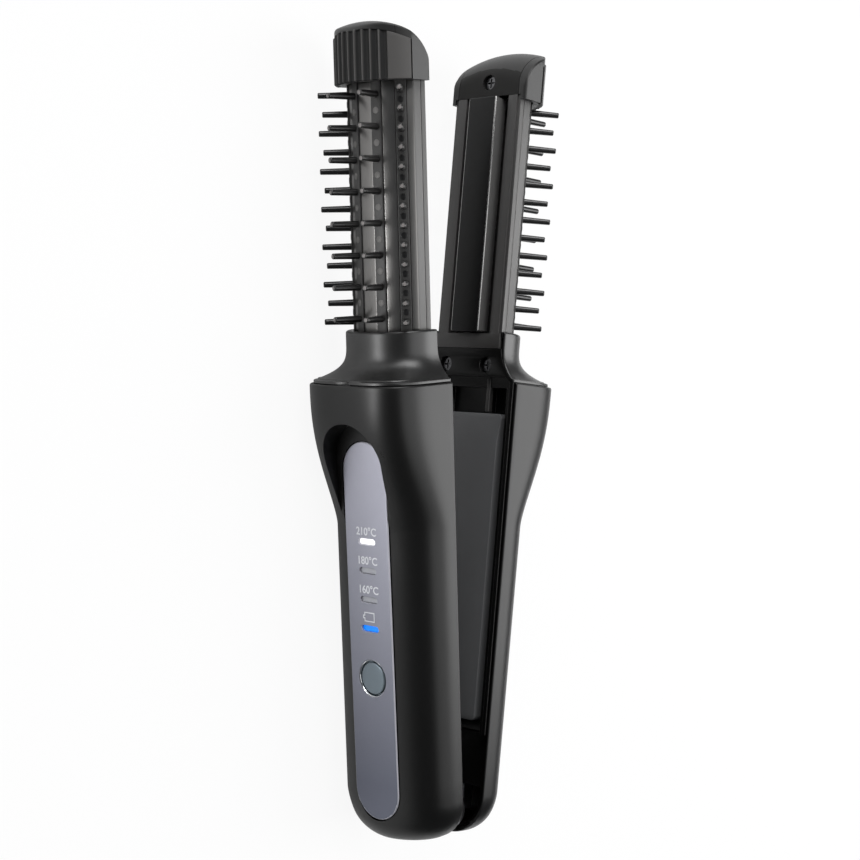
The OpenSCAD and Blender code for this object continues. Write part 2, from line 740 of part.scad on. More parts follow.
// Screws: a round head with a cross recess
module screw(x0, length, y, z) {
    difference() {
        union() {
            rod(x0, x0 + head_t, y, z, head_d);
            rod(x0, x0 + length, y, z, screw_d);
        }
        for (turn = [0, 90]) translate([x0, y, z]) rotate([turn, 0, 0])
            block([-over, 0.7], [-head_d / 4, head_d / 4], [-0.2, 0.2]);
    }
}
module neck_screws() {
    both_sides() screw(rim_x + head_sink, 4.7, -neck_screw_gap / 2, neck_screw_z);
}
module cap_screw() {
    screw(cap_face + head_sink, 4.9, 0, cap_screw_z());
}

// Hinge
module bracket(span, screw_z) {
    mid = strip_mid(span);
    bar_x = bracket_x - 2;
    difference() {
        union() {
            both_sides() {
                along_y(span[0], span[1]) {
                    translate([0, hinge_z]) circle(r = knuckle_r);
                    translate([0, hinge_z - 0.5]) square([bracket_x + bracket_t, 3]);
                }
                block([bracket_x, bracket_x + bracket_t], span, [hinge_z + 1.2, screw_z + 3.5]);
            }
            block([bar_x, bracket_x + eps], [-span[1], span[1]], [hinge_z + 1.7, liner_z0 - 0.6]);
        }
        along_y(-grip_half, grip_half) translate([0, hinge_z]) circle(d = hinge_pin_d + 2 * run);
        along_y(-span[0], span[0]) translate([0, hinge_z]) circle(r = knuckle_r + 0.3);
        both_sides() rod(bracket_x - over, bracket_x + bracket_t + over, mid, screw_z, screw_d + 2 * fit);
    }
}
module bracket_screws(span, screw_z) {
    both_sides() screw(bracket_x - head_t, 4, -strip_mid(span), screw_z);
}
module pivot_pin() {
    along_y(-hinge_pin_l / 2, hinge_pin_l / 2) translate([0, hinge_z]) circle(d = hinge_pin_d);
}
module coil() {
    // one unbroken wire: a leg up each arm and the turns between them
    r = hinge_pin_d / 2 + 0.3 + spring_wire / 2;
    steps = 16;
    splay = 30;
    sweep = 360 * spring_turns + 180 - 2 * splay;
    count = round(sweep / 360 * steps);
    half = spring_half - spring_wire / 2 - 0.1;
    leg = 6.4;
    path = concat(
        [[-r * cos(splay) - leg * sin(splay), -half, -r * sin(splay) + leg * cos(splay)]],
        [for (i = [0 : count]) let (a = -90 - splay + sweep * i / count)
            [r * sin(a), mix(-half, half, i / count), r * cos(a)]],
        [[r * cos(splay) + leg * sin(splay), half, -r * sin(splay) + leg * cos(splay)]]
    );
    sides = 6;
    last = len(path) - 1;
    rings = [for (i = [0 : last])
        let (
            d = path[min(i + 1, last)] - path[max(i - 1, 0)],
            f = d / norm(d),
            s0 = cross([0, 1, 0], f),
            s = s0 / norm(s0),
            b = cross(f, s)
        )
        [for (k = [0 : sides - 1]) let (a = -360 * k / sides)
            path[i] + spring_wire / 2 * (cos(a) * s + sin(a) * b)]];
    translate([0, 0, hinge_z]) loft(rings);
}

// Control panel and what stands behind it, in the panel's own frame
module panel_prism(u0, u1, grow) {
    translate([u0, 0, 0]) rotate([90, 0, 90]) linear_extrude(u1 - u0) stadium(panel_w + 2 * grow, panel_l + 2 * grow);
}
module indicator_prism(i, u0, u1, grow) {
    z = indicator_z + i * indicator_pitch - panel_z;
    translate([u0, 0, z]) rotate([90, 0, 90]) linear_extrude(u1 - u0)
        rotate(90) stadium(indicator_h + 2 * grow, indicator_w + 2 * grow);
}
module panel_rod(u0, u1, d) {
    rod(u0, u1, 0, button_z - panel_z, d);
}
module panel_plate() {
    ring_d = button_d + 2 * button_ring_w;
    difference() {
        intersection() {
            panel_prism(panel_back, over, 0);
            translate([-panel_crown_r, 0, -panel_l]) cylinder(h = 2 * panel_l, r = panel_crown_r, $fn = 360);
        }
        for (i = [0 : 3]) indicator_prism(i, panel_back - over, over, 0.1);
        panel_rod(panel_back - over, over, ring_d + 0.1);
    }
}
module button_collar() {
    difference() {
        panel_rod(panel_back, 0.15, button_d + 2 * button_ring_w);
        panel_rod(panel_back - over, over, button_d + 2 * fit);
    }
}
module button() {
    flange_u = panel_back - 0.1;
    panel_rod(flange_u - 0.9, button_proud, button_d);
    panel_rod(flange_u - 0.9, flange_u, button_d + 1.4);
}
module plunger() {
    panel_rod(board_u + button_travel + 0.4, panel_back - 1, plunger_d);
}
module switch_body() {
    z = button_z - panel_z;
    difference() {
        translate([board_u, -3, z - 3]) cube([1.5, 6, 6]);
        panel_rod(board_u + 0.3, board_u + 3, plunger_d + 2 * run);
    }
}
module indicator(i) {
    indicator_prism(i, board_u + led_t, -0.25, 0);
}
module led_chips() {
    for (i = [0 : 3]) translate([board_u, -1.6, indicator_z + i * indicator_pitch - panel_z - 0.8])
        cube([led_t, 3.2, 1.6]);
}
module board() {
    tail_w = 15;
    block([board_u - board_t, board_u], [-board_w / 2, board_w / 2], [board_z0, board_z1]);
    block([board_u - board_t, board_u], [-tail_w / 2, tail_w / 2], [board_tail_z, board_z0 + eps]);
}
module board_post(z) {
    translate([board_u, 10, z]) rotate([0, 90, 0]) cylinder(h = panel_back - 0.1 - board_u, d = post_d);
}
module chips() {
    back = board_u - board_t;
    mid = (board_z0 + board_z1) / 2;
    block([back - 1, back], [-4, 4], [mid, mid + 8]);
    block([back - 1, back], [-10, -4], [mid - 12, mid - 7]);
    block([back - 1.5, back], [3, 9], [mid - 24, mid - 18]);
    both_sides() translate([back - 1.5, 6, mid + 22]) rotate([0, 90, 0]) cylinder(h = 1.5, d = 6);
}
module socket_plan(grow) {
    translate([socket_x, 0]) stadium(socket_h + 2 * grow, socket_w + 2 * grow);
}
module socket() {
    wall = 0.3;
    back_t = 0.8;
    tongue_t = 0.7;
    difference() {
        translate([0, 0, socket_z0]) linear_extrude(socket_l) socket_plan(0);
        translate([0, 0, socket_z0 - over]) linear_extrude(socket_l - back_t + over) difference() {
            socket_plan(-wall);
            translate([socket_x, 0]) square([tongue_t, socket_w - 2.4], center = true);
        }
    }
    // foot that stands on the circuit board
    block([socket_x, socket_foot_x], [-3.5, 3.5], [socket_z0 + socket_l - back_t, socket_z0 + socket_l]);
}

// Nodes of the front arm
module front_casing() color("#26241f") front() {
    difference() {
        union() {
            casing_shell();
            intersection() {
                casing_form();
                scoop_prism(-scoop_wall, 12, scoop_wall);
            }
            on_panel() panel_prism(panel_back - seat_t, panel_back + 0.3, 1.2);
            both_sides() screw_post(bracket_x + bracket_t, strip_mid(knuckle_out), front_bracket_screw_z);
            on_panel() both_sides() {
                board_post(board_z0 + 6);
                board_post(board_z1 - 18);
            }
        }
        on_panel() {
            panel_prism(panel_back, 12, 0.3);
            for (i = [0 : 3]) indicator_prism(i, -8, 0, 0.3);
            panel_rod(-8, 0, button_d + 2.2);
        }
        scoop_prism(0.1, 12, 0);
        translate([0, 0, -over]) linear_extrude(socket_l) socket_plan(fit);
    }
}
module scoop_prism(u0, u1, grow) {
    // the thumb scoop's arch around the panel's end, along the panel's own axis
    arch_z = scoop_top - scoop_w / 2;
    r = scoop_w / 2 + grow;
    foot = panel_w / 2 + 0.3 + grow;
    on_panel() translate([u0, 0, -panel_z]) rotate([90, 0, 90]) linear_extrude(u1 - u0) {
        translate([0, arch_z]) circle(r = r);
        polygon([[-r, arch_z], [-foot, scoop_foot_z], [foot, scoop_foot_z], [r, arch_z]]);
    }
}
module front_liner() color("#191919") front() liner();
module front_inner_cover() color("#3b3b3c") front() inner_block();
module front_neck() color("#2c2a29") front() neck();
module front_cap() color("#3a3a3a") front() cap();
module front_barrel_frame() color("#333333") front() barrel_frame();
module front_barrel_shell() color("#4b4a4d") front() barrel_shell();
module front_pin_strip(number) color("#1f1f1f") front() pin_strip(number);
module front_heater_plate() color("#4e4c4b") front() heater_plate();
module front_plate_heater() color("#d9d4c8") front() plate_heater();
module front_plate_springs() color("#b8bcc0") front() plate_springs();
module front_shell_heater() color("#d9d4c8") front() shell_heater();
module front_heater_leads() color("#c8c4ba") front() heater_leads();
module front_cap_screw() color("#3f3f42") front() cap_screw();
module front_neck_screws() color("#3f3f42") front() neck_screws();
module front_hinge_bracket() color("#8d9094") front() bracket(knuckle_out, front_bracket_screw_z);
module front_hinge_screws() color("#9da1a5") front() bracket_screws(knuckle_out, front_bracket_screw_z);
module control_panel() color("#8f90a0") front() on_panel() panel_plate();
module button_ring() color("#c9ccd2") front() on_panel() button_collar();
module power_button() color("#7e8a93") front() on_panel() button();
module switch_plunger() color("#2b2b2b") front() on_panel() plunger();
module tact_switch() color("#b9bcc0") front() on_panel() switch_body();
module indicator_window(i, shade) color(shade) front() on_panel() indicator(i);
module indicator_leds() color("#f1ead0") front() on_panel() led_chips();
module circuit_board() color("#1f5c3a") front() on_panel() board();
module board_chips() color("#222326") front() on_panel() chips();
module charging_socket() color("#a9adb1") front() socket();
module hinge_pin() color("#aeb2b6") lay_down() pivot_pin();
module hinge_spring() color("#c2c6ca") lay_down() coil();

// Nodes of the rear arm
module rear_casing() color("#26241f") rear() {
    casing_shell();
    both_sides() screw_post(bracket_x + bracket_t, strip_mid(knuckle_in), rear_bracket_screw_z);
}
module rear_liner() color("#191919") rear() liner();
module battery_housing() color("#3b3b3c") rear() inner_block();
module rear_neck() color("#2c2a29") rear() neck();
module rear_cap() color("#3a3a3a") rear() cap();
module rear_barrel_frame() color("#333333") rear() barrel_frame();
module rear_barrel_shell() color("#4b4a4d") rear() barrel_shell();
module rear_pin_strip(number) color("#1f1f1f") rear() pin_strip(number);
module rear_heater_plate() color("#4e4c4b") rear() heater_plate();
module rear_plate_heater() color("#d9d4c8") rear() plate_heater();
module rear_plate_springs() color("#b8bcc0") rear() plate_springs();
module rear_shell_heater() color("#d9d4c8") rear() shell_heater();
module rear_heater_leads() color("#c8c4ba") rear() heater_leads();
module rear_cap_screw() color("#3f3f42") rear() cap_screw();
module rear_neck_screws() color("#3f3f42") rear() neck_screws();
module rear_hinge_bracket() color("#8d9094") rear() bracket(knuckle_in, rear_bracket_screw_z);
module rear_hinge_screws() color("#9da1a5") rear() bracket_screws(knuckle_in, rear_bracket_screw_z);
module battery_cell() color("#3f6fa8") rear() {
    r = 2;
    translate([battery_x + battery_t / 2, 0, battery_z]) linear_extrude(battery_l) {
        square([battery_t - 2 * r, battery_w], center = true);
        square([battery_t, battery_w - 2 * r], center = true);
        for (sx = [-1, 1], sy = [-1, 1])
            translate([sx * (battery_t / 2 - r), sy * (battery_w / 2 - r)]) circle(r = r);
    }
}
module battery_leads() color("#b23a32") rear() {
    lead_l = 8;
    both_sides() translate([battery_x + battery_t - 1, 2, battery_z - lead_l])
        cylinder(h = lead_l, d = lead_d, $fn = 24);
}

front_casing();
front_liner();
front_inner_cover();
front_neck();
front_cap();
front_barrel_frame();
front_barrel_shell();
front_pin_strip(1);  // front_pin_strip_1
front_pin_strip(2);  // front_pin_strip_2
front_pin_strip(3);  // front_pin_strip_3
front_pin_strip(4);  // front_pin_strip_4
front_heater_plate();
front_plate_heater();
front_plate_springs();
front_shell_heater();
front_heater_leads();
front_cap_screw();
front_neck_screws();
front_hinge_bracket();
front_hinge_screws();
control_panel();
button_ring();
power_button();
switch_plunger();
tact_switch();
indicator_window(3, "#f4f6f8");  // indicator_210
indicator_window(2, "#8c8f9a");  // indicator_180
indicator_window(1, "#8c8f9a");  // indicator_160
indicator_window(0, "#1e8cff");  // indicator_battery
indicator_leds();
circuit_board();
board_chips();
charging_socket();
hinge_pin();
hinge_spring();
rear_casing();
rear_liner();
battery_housing();
rear_neck();
rear_cap();
rear_barrel_frame();
rear_barrel_shell();
rear_pin_strip(1);  // rear_pin_strip_1
rear_pin_strip(2);  // rear_pin_strip_2
rear_pin_strip(3);  // rear_pin_strip_3
rear_pin_strip(4);  // rear_pin_strip_4
rear_heater_plate();
rear_plate_heater();
rear_plate_springs();
rear_shell_heater();
rear_heater_leads();
rear_cap_screw();
rear_neck_screws();
rear_hinge_bracket();
rear_hinge_screws();
battery_cell();
battery_leads();
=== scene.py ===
import json
import math

import bpy
from mathutils import Matrix, Vector

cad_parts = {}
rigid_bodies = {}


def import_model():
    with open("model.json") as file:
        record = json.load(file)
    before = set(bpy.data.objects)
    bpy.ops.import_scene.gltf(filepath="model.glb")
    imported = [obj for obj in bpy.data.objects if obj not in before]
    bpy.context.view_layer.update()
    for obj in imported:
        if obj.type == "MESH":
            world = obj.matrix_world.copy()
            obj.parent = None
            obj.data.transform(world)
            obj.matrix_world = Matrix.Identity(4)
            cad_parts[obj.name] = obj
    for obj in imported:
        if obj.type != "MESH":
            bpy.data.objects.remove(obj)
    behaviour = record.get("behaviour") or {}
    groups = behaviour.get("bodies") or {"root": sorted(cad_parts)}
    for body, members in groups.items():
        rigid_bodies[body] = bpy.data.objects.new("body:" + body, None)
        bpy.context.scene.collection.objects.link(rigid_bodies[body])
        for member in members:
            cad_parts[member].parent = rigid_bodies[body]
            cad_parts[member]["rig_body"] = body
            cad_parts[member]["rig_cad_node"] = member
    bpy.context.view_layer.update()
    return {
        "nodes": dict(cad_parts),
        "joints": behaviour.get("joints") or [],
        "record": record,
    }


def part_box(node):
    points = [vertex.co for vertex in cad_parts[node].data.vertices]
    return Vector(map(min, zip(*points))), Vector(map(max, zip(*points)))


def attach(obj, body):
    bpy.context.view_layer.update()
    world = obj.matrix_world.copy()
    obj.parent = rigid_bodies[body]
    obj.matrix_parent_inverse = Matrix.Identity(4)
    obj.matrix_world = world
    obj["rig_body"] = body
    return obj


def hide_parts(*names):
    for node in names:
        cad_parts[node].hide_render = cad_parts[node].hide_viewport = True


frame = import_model()
bpy.ops.object.select_all(action="DESELECT")

# Each arm is modelled upright in millimetres: x runs outwards from the parting plane,
# y across the handle and z up from the tail. Then it is turned into its place in the frame.
mm = 0.001
joints = {joint["name"]: joint for joint in frame["joints"]}
partingX, hingeY, middleZ = joints["arm_hinge"]["pos_m"]
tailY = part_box("front_casing")[0].y
hingeZ = (hingeY - tailY) / mm
floatAxis = joints["rear_plate_float"]["axis"]
openAngle = math.atan2(-floatAxis[1], floatAxis[0])
gripHalf = middleZ / mm


def level(node, end):
    return (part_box(node)[end].y - tailY) / mm


casingTop = level("front_casing", 1)
neckTop = level("front_neck", 1)
barrelTop = level("front_cap", 0)
capTop = level("front_cap", 1)
upright = Matrix.Translation((partingX, tailY, middleZ)) @ Matrix.Rotation(-math.pi / 2, 4, "X")
swing = (Matrix.Translation((0, 0, hingeZ)) @ Matrix.Rotation(openAngle, 4, "Y")
         @ Matrix.Translation((0, 0, -hingeZ)))
armPlace = {
    "front": upright @ Matrix.Scale(mm, 4) @ Matrix.Rotation(math.pi, 4, "Z"),
    "rear": upright @ Matrix.Scale(mm, 4) @ swing,
}


# Camera
camera = {
    "azimuth": 46.53,
    "elevation": 5.75,
    "roll": -1.49,
    "target": (0, 0, 118),
    "offset": (5.25, -4.11, 497.29),
    "lens": 74.49,
}


def addCamera():
    turn = (
        Matrix.Rotation(math.radians(-camera["azimuth"]), 4, "Z")
        @ Matrix.Rotation(math.radians(90 - camera["elevation"]), 4, "X")
        @ Matrix.Rotation(math.radians(camera["roll"]), 4, "Z")
    )
    stand = Vector(camera["target"]) + turn @ Vector(camera["offset"])
    bpy.ops.object.camera_add()
    eye = bpy.context.object
    eye.name = "photoCamera"
    eye.matrix_world = upright @ Matrix.Translation(stand * mm) @ turn
    eye.data.lens = camera["lens"]
    eye.data.clip_start = 0.01
    bpy.context.scene.camera = eye


addCamera()
print("camera: placed")


# Modelling helpers
def pick(piece, *more):
    bpy.ops.object.select_all(action="DESELECT")
    for each in (*more, piece):
        each.select_set(True)
    bpy.context.view_layer.objects.active = piece


def named(name):
    piece = bpy.context.object
    piece.name = name
    return piece


def mix(a, b, share):
    return a + (b - a) * share


def clamp(value):
    return max(0, min(1, value))


def sine(degrees):
    return math.sin(math.radians(degrees))


def cosine(degrees):
    return math.cos(math.radians(degrees))


def spread(start, end, count):
    # even steps from the start to the end, both among them
    return [mix(start, end, step / count) for step in range(count + 1)]


def polar(radius, angle, x=0, y=0):
    return x + radius * cosine(angle), y + radius * sine(angle)


def modify(piece, kind, **settings):
    pick(piece)
    modifier = piece.modifiers.new(kind, kind)
    for setting, value in settings.items():
        setattr(modifier, setting, value)
    bpy.ops.object.modifier_apply(modifier=modifier.name)


def combine(piece, operation, *tools):
    for tool in tools:
        modify(piece, "BOOLEAN", object=tool, operation=operation, solver="EXACT")
        bpy.data.objects.remove(tool)


def rounded(piece, width, segments=2, angle=35):
    modify(piece, "BEVEL", width=width, segments=segments, limit_method="ANGLE",
           angle_limit=math.radians(angle))


def edit(piece, *steps):
    # each step is an operator and its settings, run in edit mode on what is selected
    pick(piece)
    bpy.ops.object.mode_set(mode="EDIT")
    for operator, settings in steps:
        operator(**settings)
    bpy.ops.object.mode_set(mode="OBJECT")


everything = (bpy.ops.mesh.select_all, {"action": "SELECT"})
nothing = (bpy.ops.mesh.select_all, {"action": "DESELECT"})
outwards = (bpy.ops.mesh.normals_make_consistent, {"inside": False})
fineMerge = 0.0005  # merging distance for pieces with fine details
shellMerge = 0.002  # and for moulded shells


def close(piece, test):
    # closes the opening whose rim's vertices pass the test
    edit(piece, (bpy.ops.mesh.select_mode, {"type": "VERT"}), nothing)
    for vertex in piece.data.vertices:
        vertex.select = test(vertex.co)
    edit(piece, (bpy.ops.mesh.edge_face_add, {}), everything, outwards)


def tidy(piece, smooth=35, merge=0.004):
    edit(piece, everything, (bpy.ops.mesh.remove_doubles, {"threshold": merge}), everything, outwards)
    bpy.ops.object.shade_smooth_by_angle(angle=math.radians(smooth))


def slab(name, *spans):
    # a block, from its two ends along x, y and z
    bpy.ops.mesh.primitive_cube_add(size=1, location=[(low + high) / 2 for low, high in spans])
    piece = named(name)
    piece.scale = [high - low for low, high in spans]
    bpy.ops.object.transform_apply()
    return piece


def rod(name, radius, start, end, sides=48):
    # a cylinder along x
    bpy.ops.mesh.primitive_cylinder_add(vertices=sides, radius=radius, depth=end[0] - start[0],
                                        location=((start[0] + end[0]) / 2, start[1], start[2]),
                                        rotation=(0, math.pi / 2, 0))
    piece = named(name)
    bpy.ops.object.transform_apply()
    return piece


def prism(name, outline, low, high, along="Z"):
    # a flat outline extruded: along z it is (x, y), along x it is (y, z)
    bpy.ops.mesh.primitive_circle_add(vertices=len(outline), fill_type="NGON")
    piece = named(name)
    for vertex, (across, up) in zip(piece.data.vertices, outline):
        vertex.co = (across, up, low)
    rise = {"TRANSFORM_OT_translate": {"value": (0, 0, high - low)}}
    edit(piece, everything, (bpy.ops.mesh.extrude_region_move, rise), everything, outwards)
    if along == "X":
        for vertex in piece.data.vertices:
            vertex.co = (vertex.co.z, vertex.co.x, vertex.co.y)
    return piece


def skin(name, columns, rows, place):
    # a grid whose points are set one by one, for the moulded double curves
    across, up = len(columns) - 1, len(rows) - 1
    bpy.ops.mesh.primitive_grid_add(x_subdivisions=across, y_subdivisions=up, size=2)
    piece = named(name)
    for vertex in piece.data.vertices:
        column = round((vertex.co.x + 1) / 2 * across)
        row = round((vertex.co.y + 1) / 2 * up)
        vertex.co = place(columns[column], rows[row])
    return piece


def turned(name, profile, steps):
    # a profile of (radius, x) swung about the x axis
    def place(turn, point):
        radius, x = point
        return x, radius * cosine(turn), radius * sine(turn)

    piece = skin(name, spread(0, 360, steps), profile, place)
    tidy(piece, merge=fineMerge)
    return piece


def stadium(width, length, steps=20):
    # a long hole's outline, upright
    top = [polar(width / 2, turn, 0, (length - width) / 2) for turn in spread(0, 180, steps)]
    return top + [(-across, -up) for across, up in top]


def copyOf(piece, name):
    pick(piece)
    bpy.ops.object.duplicate()
    return named(name)


def join(piece, *more):
    pick(piece, *more)
    bpy.ops.object.join()
    return piece


slotOf = {part["node"]: part["material_slot"] for part in frame["record"]["subparts"]}
bodyOf = {node: body for body, nodes in frame["record"]["behaviour"]["bodies"].items() for node in nodes}
looks = {}


def intoPlace(piece, arm):
    # turns a finished piece from the arm's own frame into the shared one
    piece.matrix_world = armPlace[arm] @ piece.matrix_world
    pick(piece)
    bpy.ops.object.transform_apply()


def coat(piece, look):
    # one material all over, in place of what was there
    piece.data.materials.clear()
    piece.data.materials.append(looks[look])


def enlist(piece, node):
    # lets a piece stand for its CAD node, on its body and in its slot
    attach(piece, bodyOf[node])
    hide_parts(node)
    if not piece.data.materials:
        coat(piece, slotOf[node])
    return piece


def settle(piece, arm, node):
    intoPlace(piece, arm)
    return enlist(piece, node)


def paint(piece, look, test=None):
    # adds a material, on the faces that pass the test or on all of them
    piece.data.materials.append(looks[look])
    if test:
        for face in piece.data.polygons:
            if test(face):
                face.material_index = len(piece.data.materials) - 1
    return piece


def dressed(node, name, width):
    # a merged copy of a CAD node whose form is right, with its edges rounded
    piece = copyOf(frame["nodes"][node], name)
    piece.parent = None
    piece.animation_data_clear()
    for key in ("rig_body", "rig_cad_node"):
        if key in piece:
            del piece[key]
    piece.data.transform(Matrix.Scale(1 / mm, 4))
    edit(piece, everything, (bpy.ops.mesh.remove_doubles, {"threshold": shellMerge}), everything,
         (bpy.ops.mesh.dissolve_limited, {"angle_limit": math.radians(0.6)}))
    rounded(piece, width)
    piece.data.transform(Matrix.Scale(mm, 4))
    pick(piece)
    bpy.ops.object.shade_smooth_by_angle(angle=math.radians(35))
    coat(piece, slotOf[node])
    return enlist(piece, node)


# Materials
class Wire:
    # one output of a material's nodes, so that shader maths is written as plain sums
    def __init__(self, look, socket):
        self.look = look
        self.socket = socket

    def __add__(self, other):
        return self.look.maths("ADD", self, other)

    def __sub__(self, other):
        return self.look.maths("SUBTRACT", self, other)

    def __rsub__(self, other):
        return self.look.maths("SUBTRACT", other, self)

    def __mul__(self, other):
        return self.look.maths("MULTIPLY", self, other)

    def __truediv__(self, other):
        return self.look.maths("DIVIDE", self, other)

    __radd__ = __add__
    __rmul__ = __mul__


class Look:
    def __init__(self, name):
        self.material = bpy.data.materials.new(name)
        self.material.use_nodes = True
        self.tree = self.material.node_tree
        self.tree.nodes.clear()
        self.place = self.add("TexCoord", output="Object")

    def add(self, kind, sockets=None, output=0, **settings):
        node = self.tree.nodes.new("ShaderNode" + kind)
        for setting, value in settings.items():
            setattr(node, setting, value)
        for socket, value in (sockets or {}).items():
            target = node.inputs[socket]
            if isinstance(value, Wire):
                self.tree.links.new(value.socket, target)
            else:
                target.default_value = (*value, 1) if target.type == "RGBA" else value
        return Wire(self, node.outputs[output]) if output is not None else None

    def maths(self, operation, a, b):
        return self.add("Math", {0: a, 1: b}, operation=operation)

    def clamped(self, wire):
        return self.add("Clamp", {"Value": wire})

    def noise(self, size, detail=2, stretch=(1, 1, 1)):
        # size is the grain's width in millimetres
        stretched = self.add("VectorMath", {0: self.place, 1: stretch}, operation="MULTIPLY")
        return self.add("TexNoise", {"Vector": stretched, "Scale": 1 / (size * mm), "Detail": detail})

    def bump(self, height, depth):
        # depth is the relief in millimetres
        return self.add("Bump", {"Height": height, "Distance": depth * mm, "Strength": 1})

    def blend(self, share, first, second):
        return self.add("Mix", {0: share, 6: first, 7: second}, 2, data_type="RGBA")

    def finish(self, sockets):
        shader = self.add("BsdfPrincipled", sockets)
        self.add("OutputMaterial", {"Surface": shader}, output=None)
        return self.material


def toned(shade, share):
    return tuple(min(1, part * share) for part in shade)


def plastic(name, shade, roughness, grain=0.18, relief=0.006, specular=0.5):
    # moulded plastic: spark-eroded grain, faint flow marks, and handling that dulls it in patches
    look = Look(name)
    fine = look.noise(grain, 3)
    patches = look.noise(14, 3)
    return look.finish({
        "Base Color": look.blend(patches, toned(shade, 0.86), shade),
        "Roughness": roughness - 0.03 + 0.04 * patches + 0.03 * fine,
        "Specular IOR Level": specular,
        "Normal": look.bump(fine + 0.3 * look.noise(grain * 4, 2), relief),
    })


def metal(name, shade, roughness, lay=(1, 1, 1), grain=0.12, relief=0.002):
    # drawn or blasted metal, with its grain lengthened along the lay
    look = Look(name)
    fine = look.noise(grain, 2, lay)
    patches = look.noise(9, 2)
    return look.finish({
        "Base Color": look.blend(patches, shade, toned(shade, 1.12)),
        "Metallic": 1,
        "Roughness": roughness - 0.04 + 0.06 * fine + 0.04 * patches,
        "Normal": look.bump(fine, relief),
    })


def lacquerWithPaintedReflection(name, top, bottom, low, high):
    # metallic lacquer with fine flakes, and a painted reflection: its colour is lighter towards the neck and
    # darker towards the tail
    look = Look(name)
    along = look.add("SeparateXYZ", {0: look.place}, output=1)
    share = look.clamped((along - low) / (high - low))
    flakes = look.add("TexVoronoi", {"Vector": look.place, "Scale": 1 / (0.09 * mm)}, output="Color")
    sparkle = look.add("SeparateColor", {0: flakes})
    paintedReflection = look.blend(share, bottom, top)
    return look.finish({
        "Base Color": look.blend(0.86 + 0.14 * sparkle, (0.08, 0.08, 0.09), paintedReflection),
        "Metallic": 0.8,
        "Roughness": 0.4 + 0.08 * sparkle,
        "Coat Weight": 0.15,
        "Coat Roughness": 0.25,
        "Normal": look.bump(look.noise(0.3, 2), 0.002),
    })


def lens(name, shade, glow):
    # a translucent window, lit from behind and brighter in its middle
    look = Look(name)
    cloud = look.noise(1.2, 2)
    return look.finish({
        "Base Color": look.blend(cloud, toned(shade, 0.9), shade),
        "Emission Color": look.blend(cloud, toned(shade, 0.85), shade),
        "Emission Strength": glow,
        "Roughness": 0.28 + 0.06 * cloud,
    })


def solderMask(name):
    # green mask over copper tracks that run in both directions
    look = Look(name)
    tracks = look.add("TexBrick", {
        "Vector": look.place, "Scale": 1 / (3 * mm), "Mortar Size": 0.03,
        "Brick Width": 0.9, "Row Height": 0.35,
        "Color1": (0.004, 0.06, 0.02), "Color2": (0.005, 0.08, 0.03), "Mortar": (0.03, 0.22, 0.09),
    }, offset=0.3)
    return look.finish({"Base Color": tracks, "Roughness": 0.25 + 0.1 * look.noise(2), "Coat Weight": 0.5})


def wrapped(name, shade):
    # shrink wrap with faint lengthwise wrinkles
    look = Look(name)
    wrinkle = look.noise(2.5, 4, (1, 0.15, 1))
    return look.finish({
        "Base Color": look.blend(wrinkle, toned(shade, 0.8), shade),
        "Roughness": 0.3 + 0.15 * wrinkle,
        "Normal": look.bump(wrinkle, 0.05),
    })


def grooveShadedPlastic(name, shade, deep):
    # painted shade: the grooves are painted near black by their depth, and the ridges keep the grip's grey
    # and are glossier
    look = Look(name)
    fine = look.noise(0.26, 3)
    grooveShadeRead = look.add("Attribute", output="Fac", attribute_name="grooveShadeMask")
    grooveShadeMask = look.clamped(grooveShadeRead * (0.85 + 0.3 * look.noise(6)))
    return look.finish({
        "Base Color": look.blend(grooveShadeMask, deep, shade),
        "Roughness": 0.62 - 0.2 * grooveShadeMask + 0.03 * fine,
        "Normal": look.bump(fine, 0.015),
    })


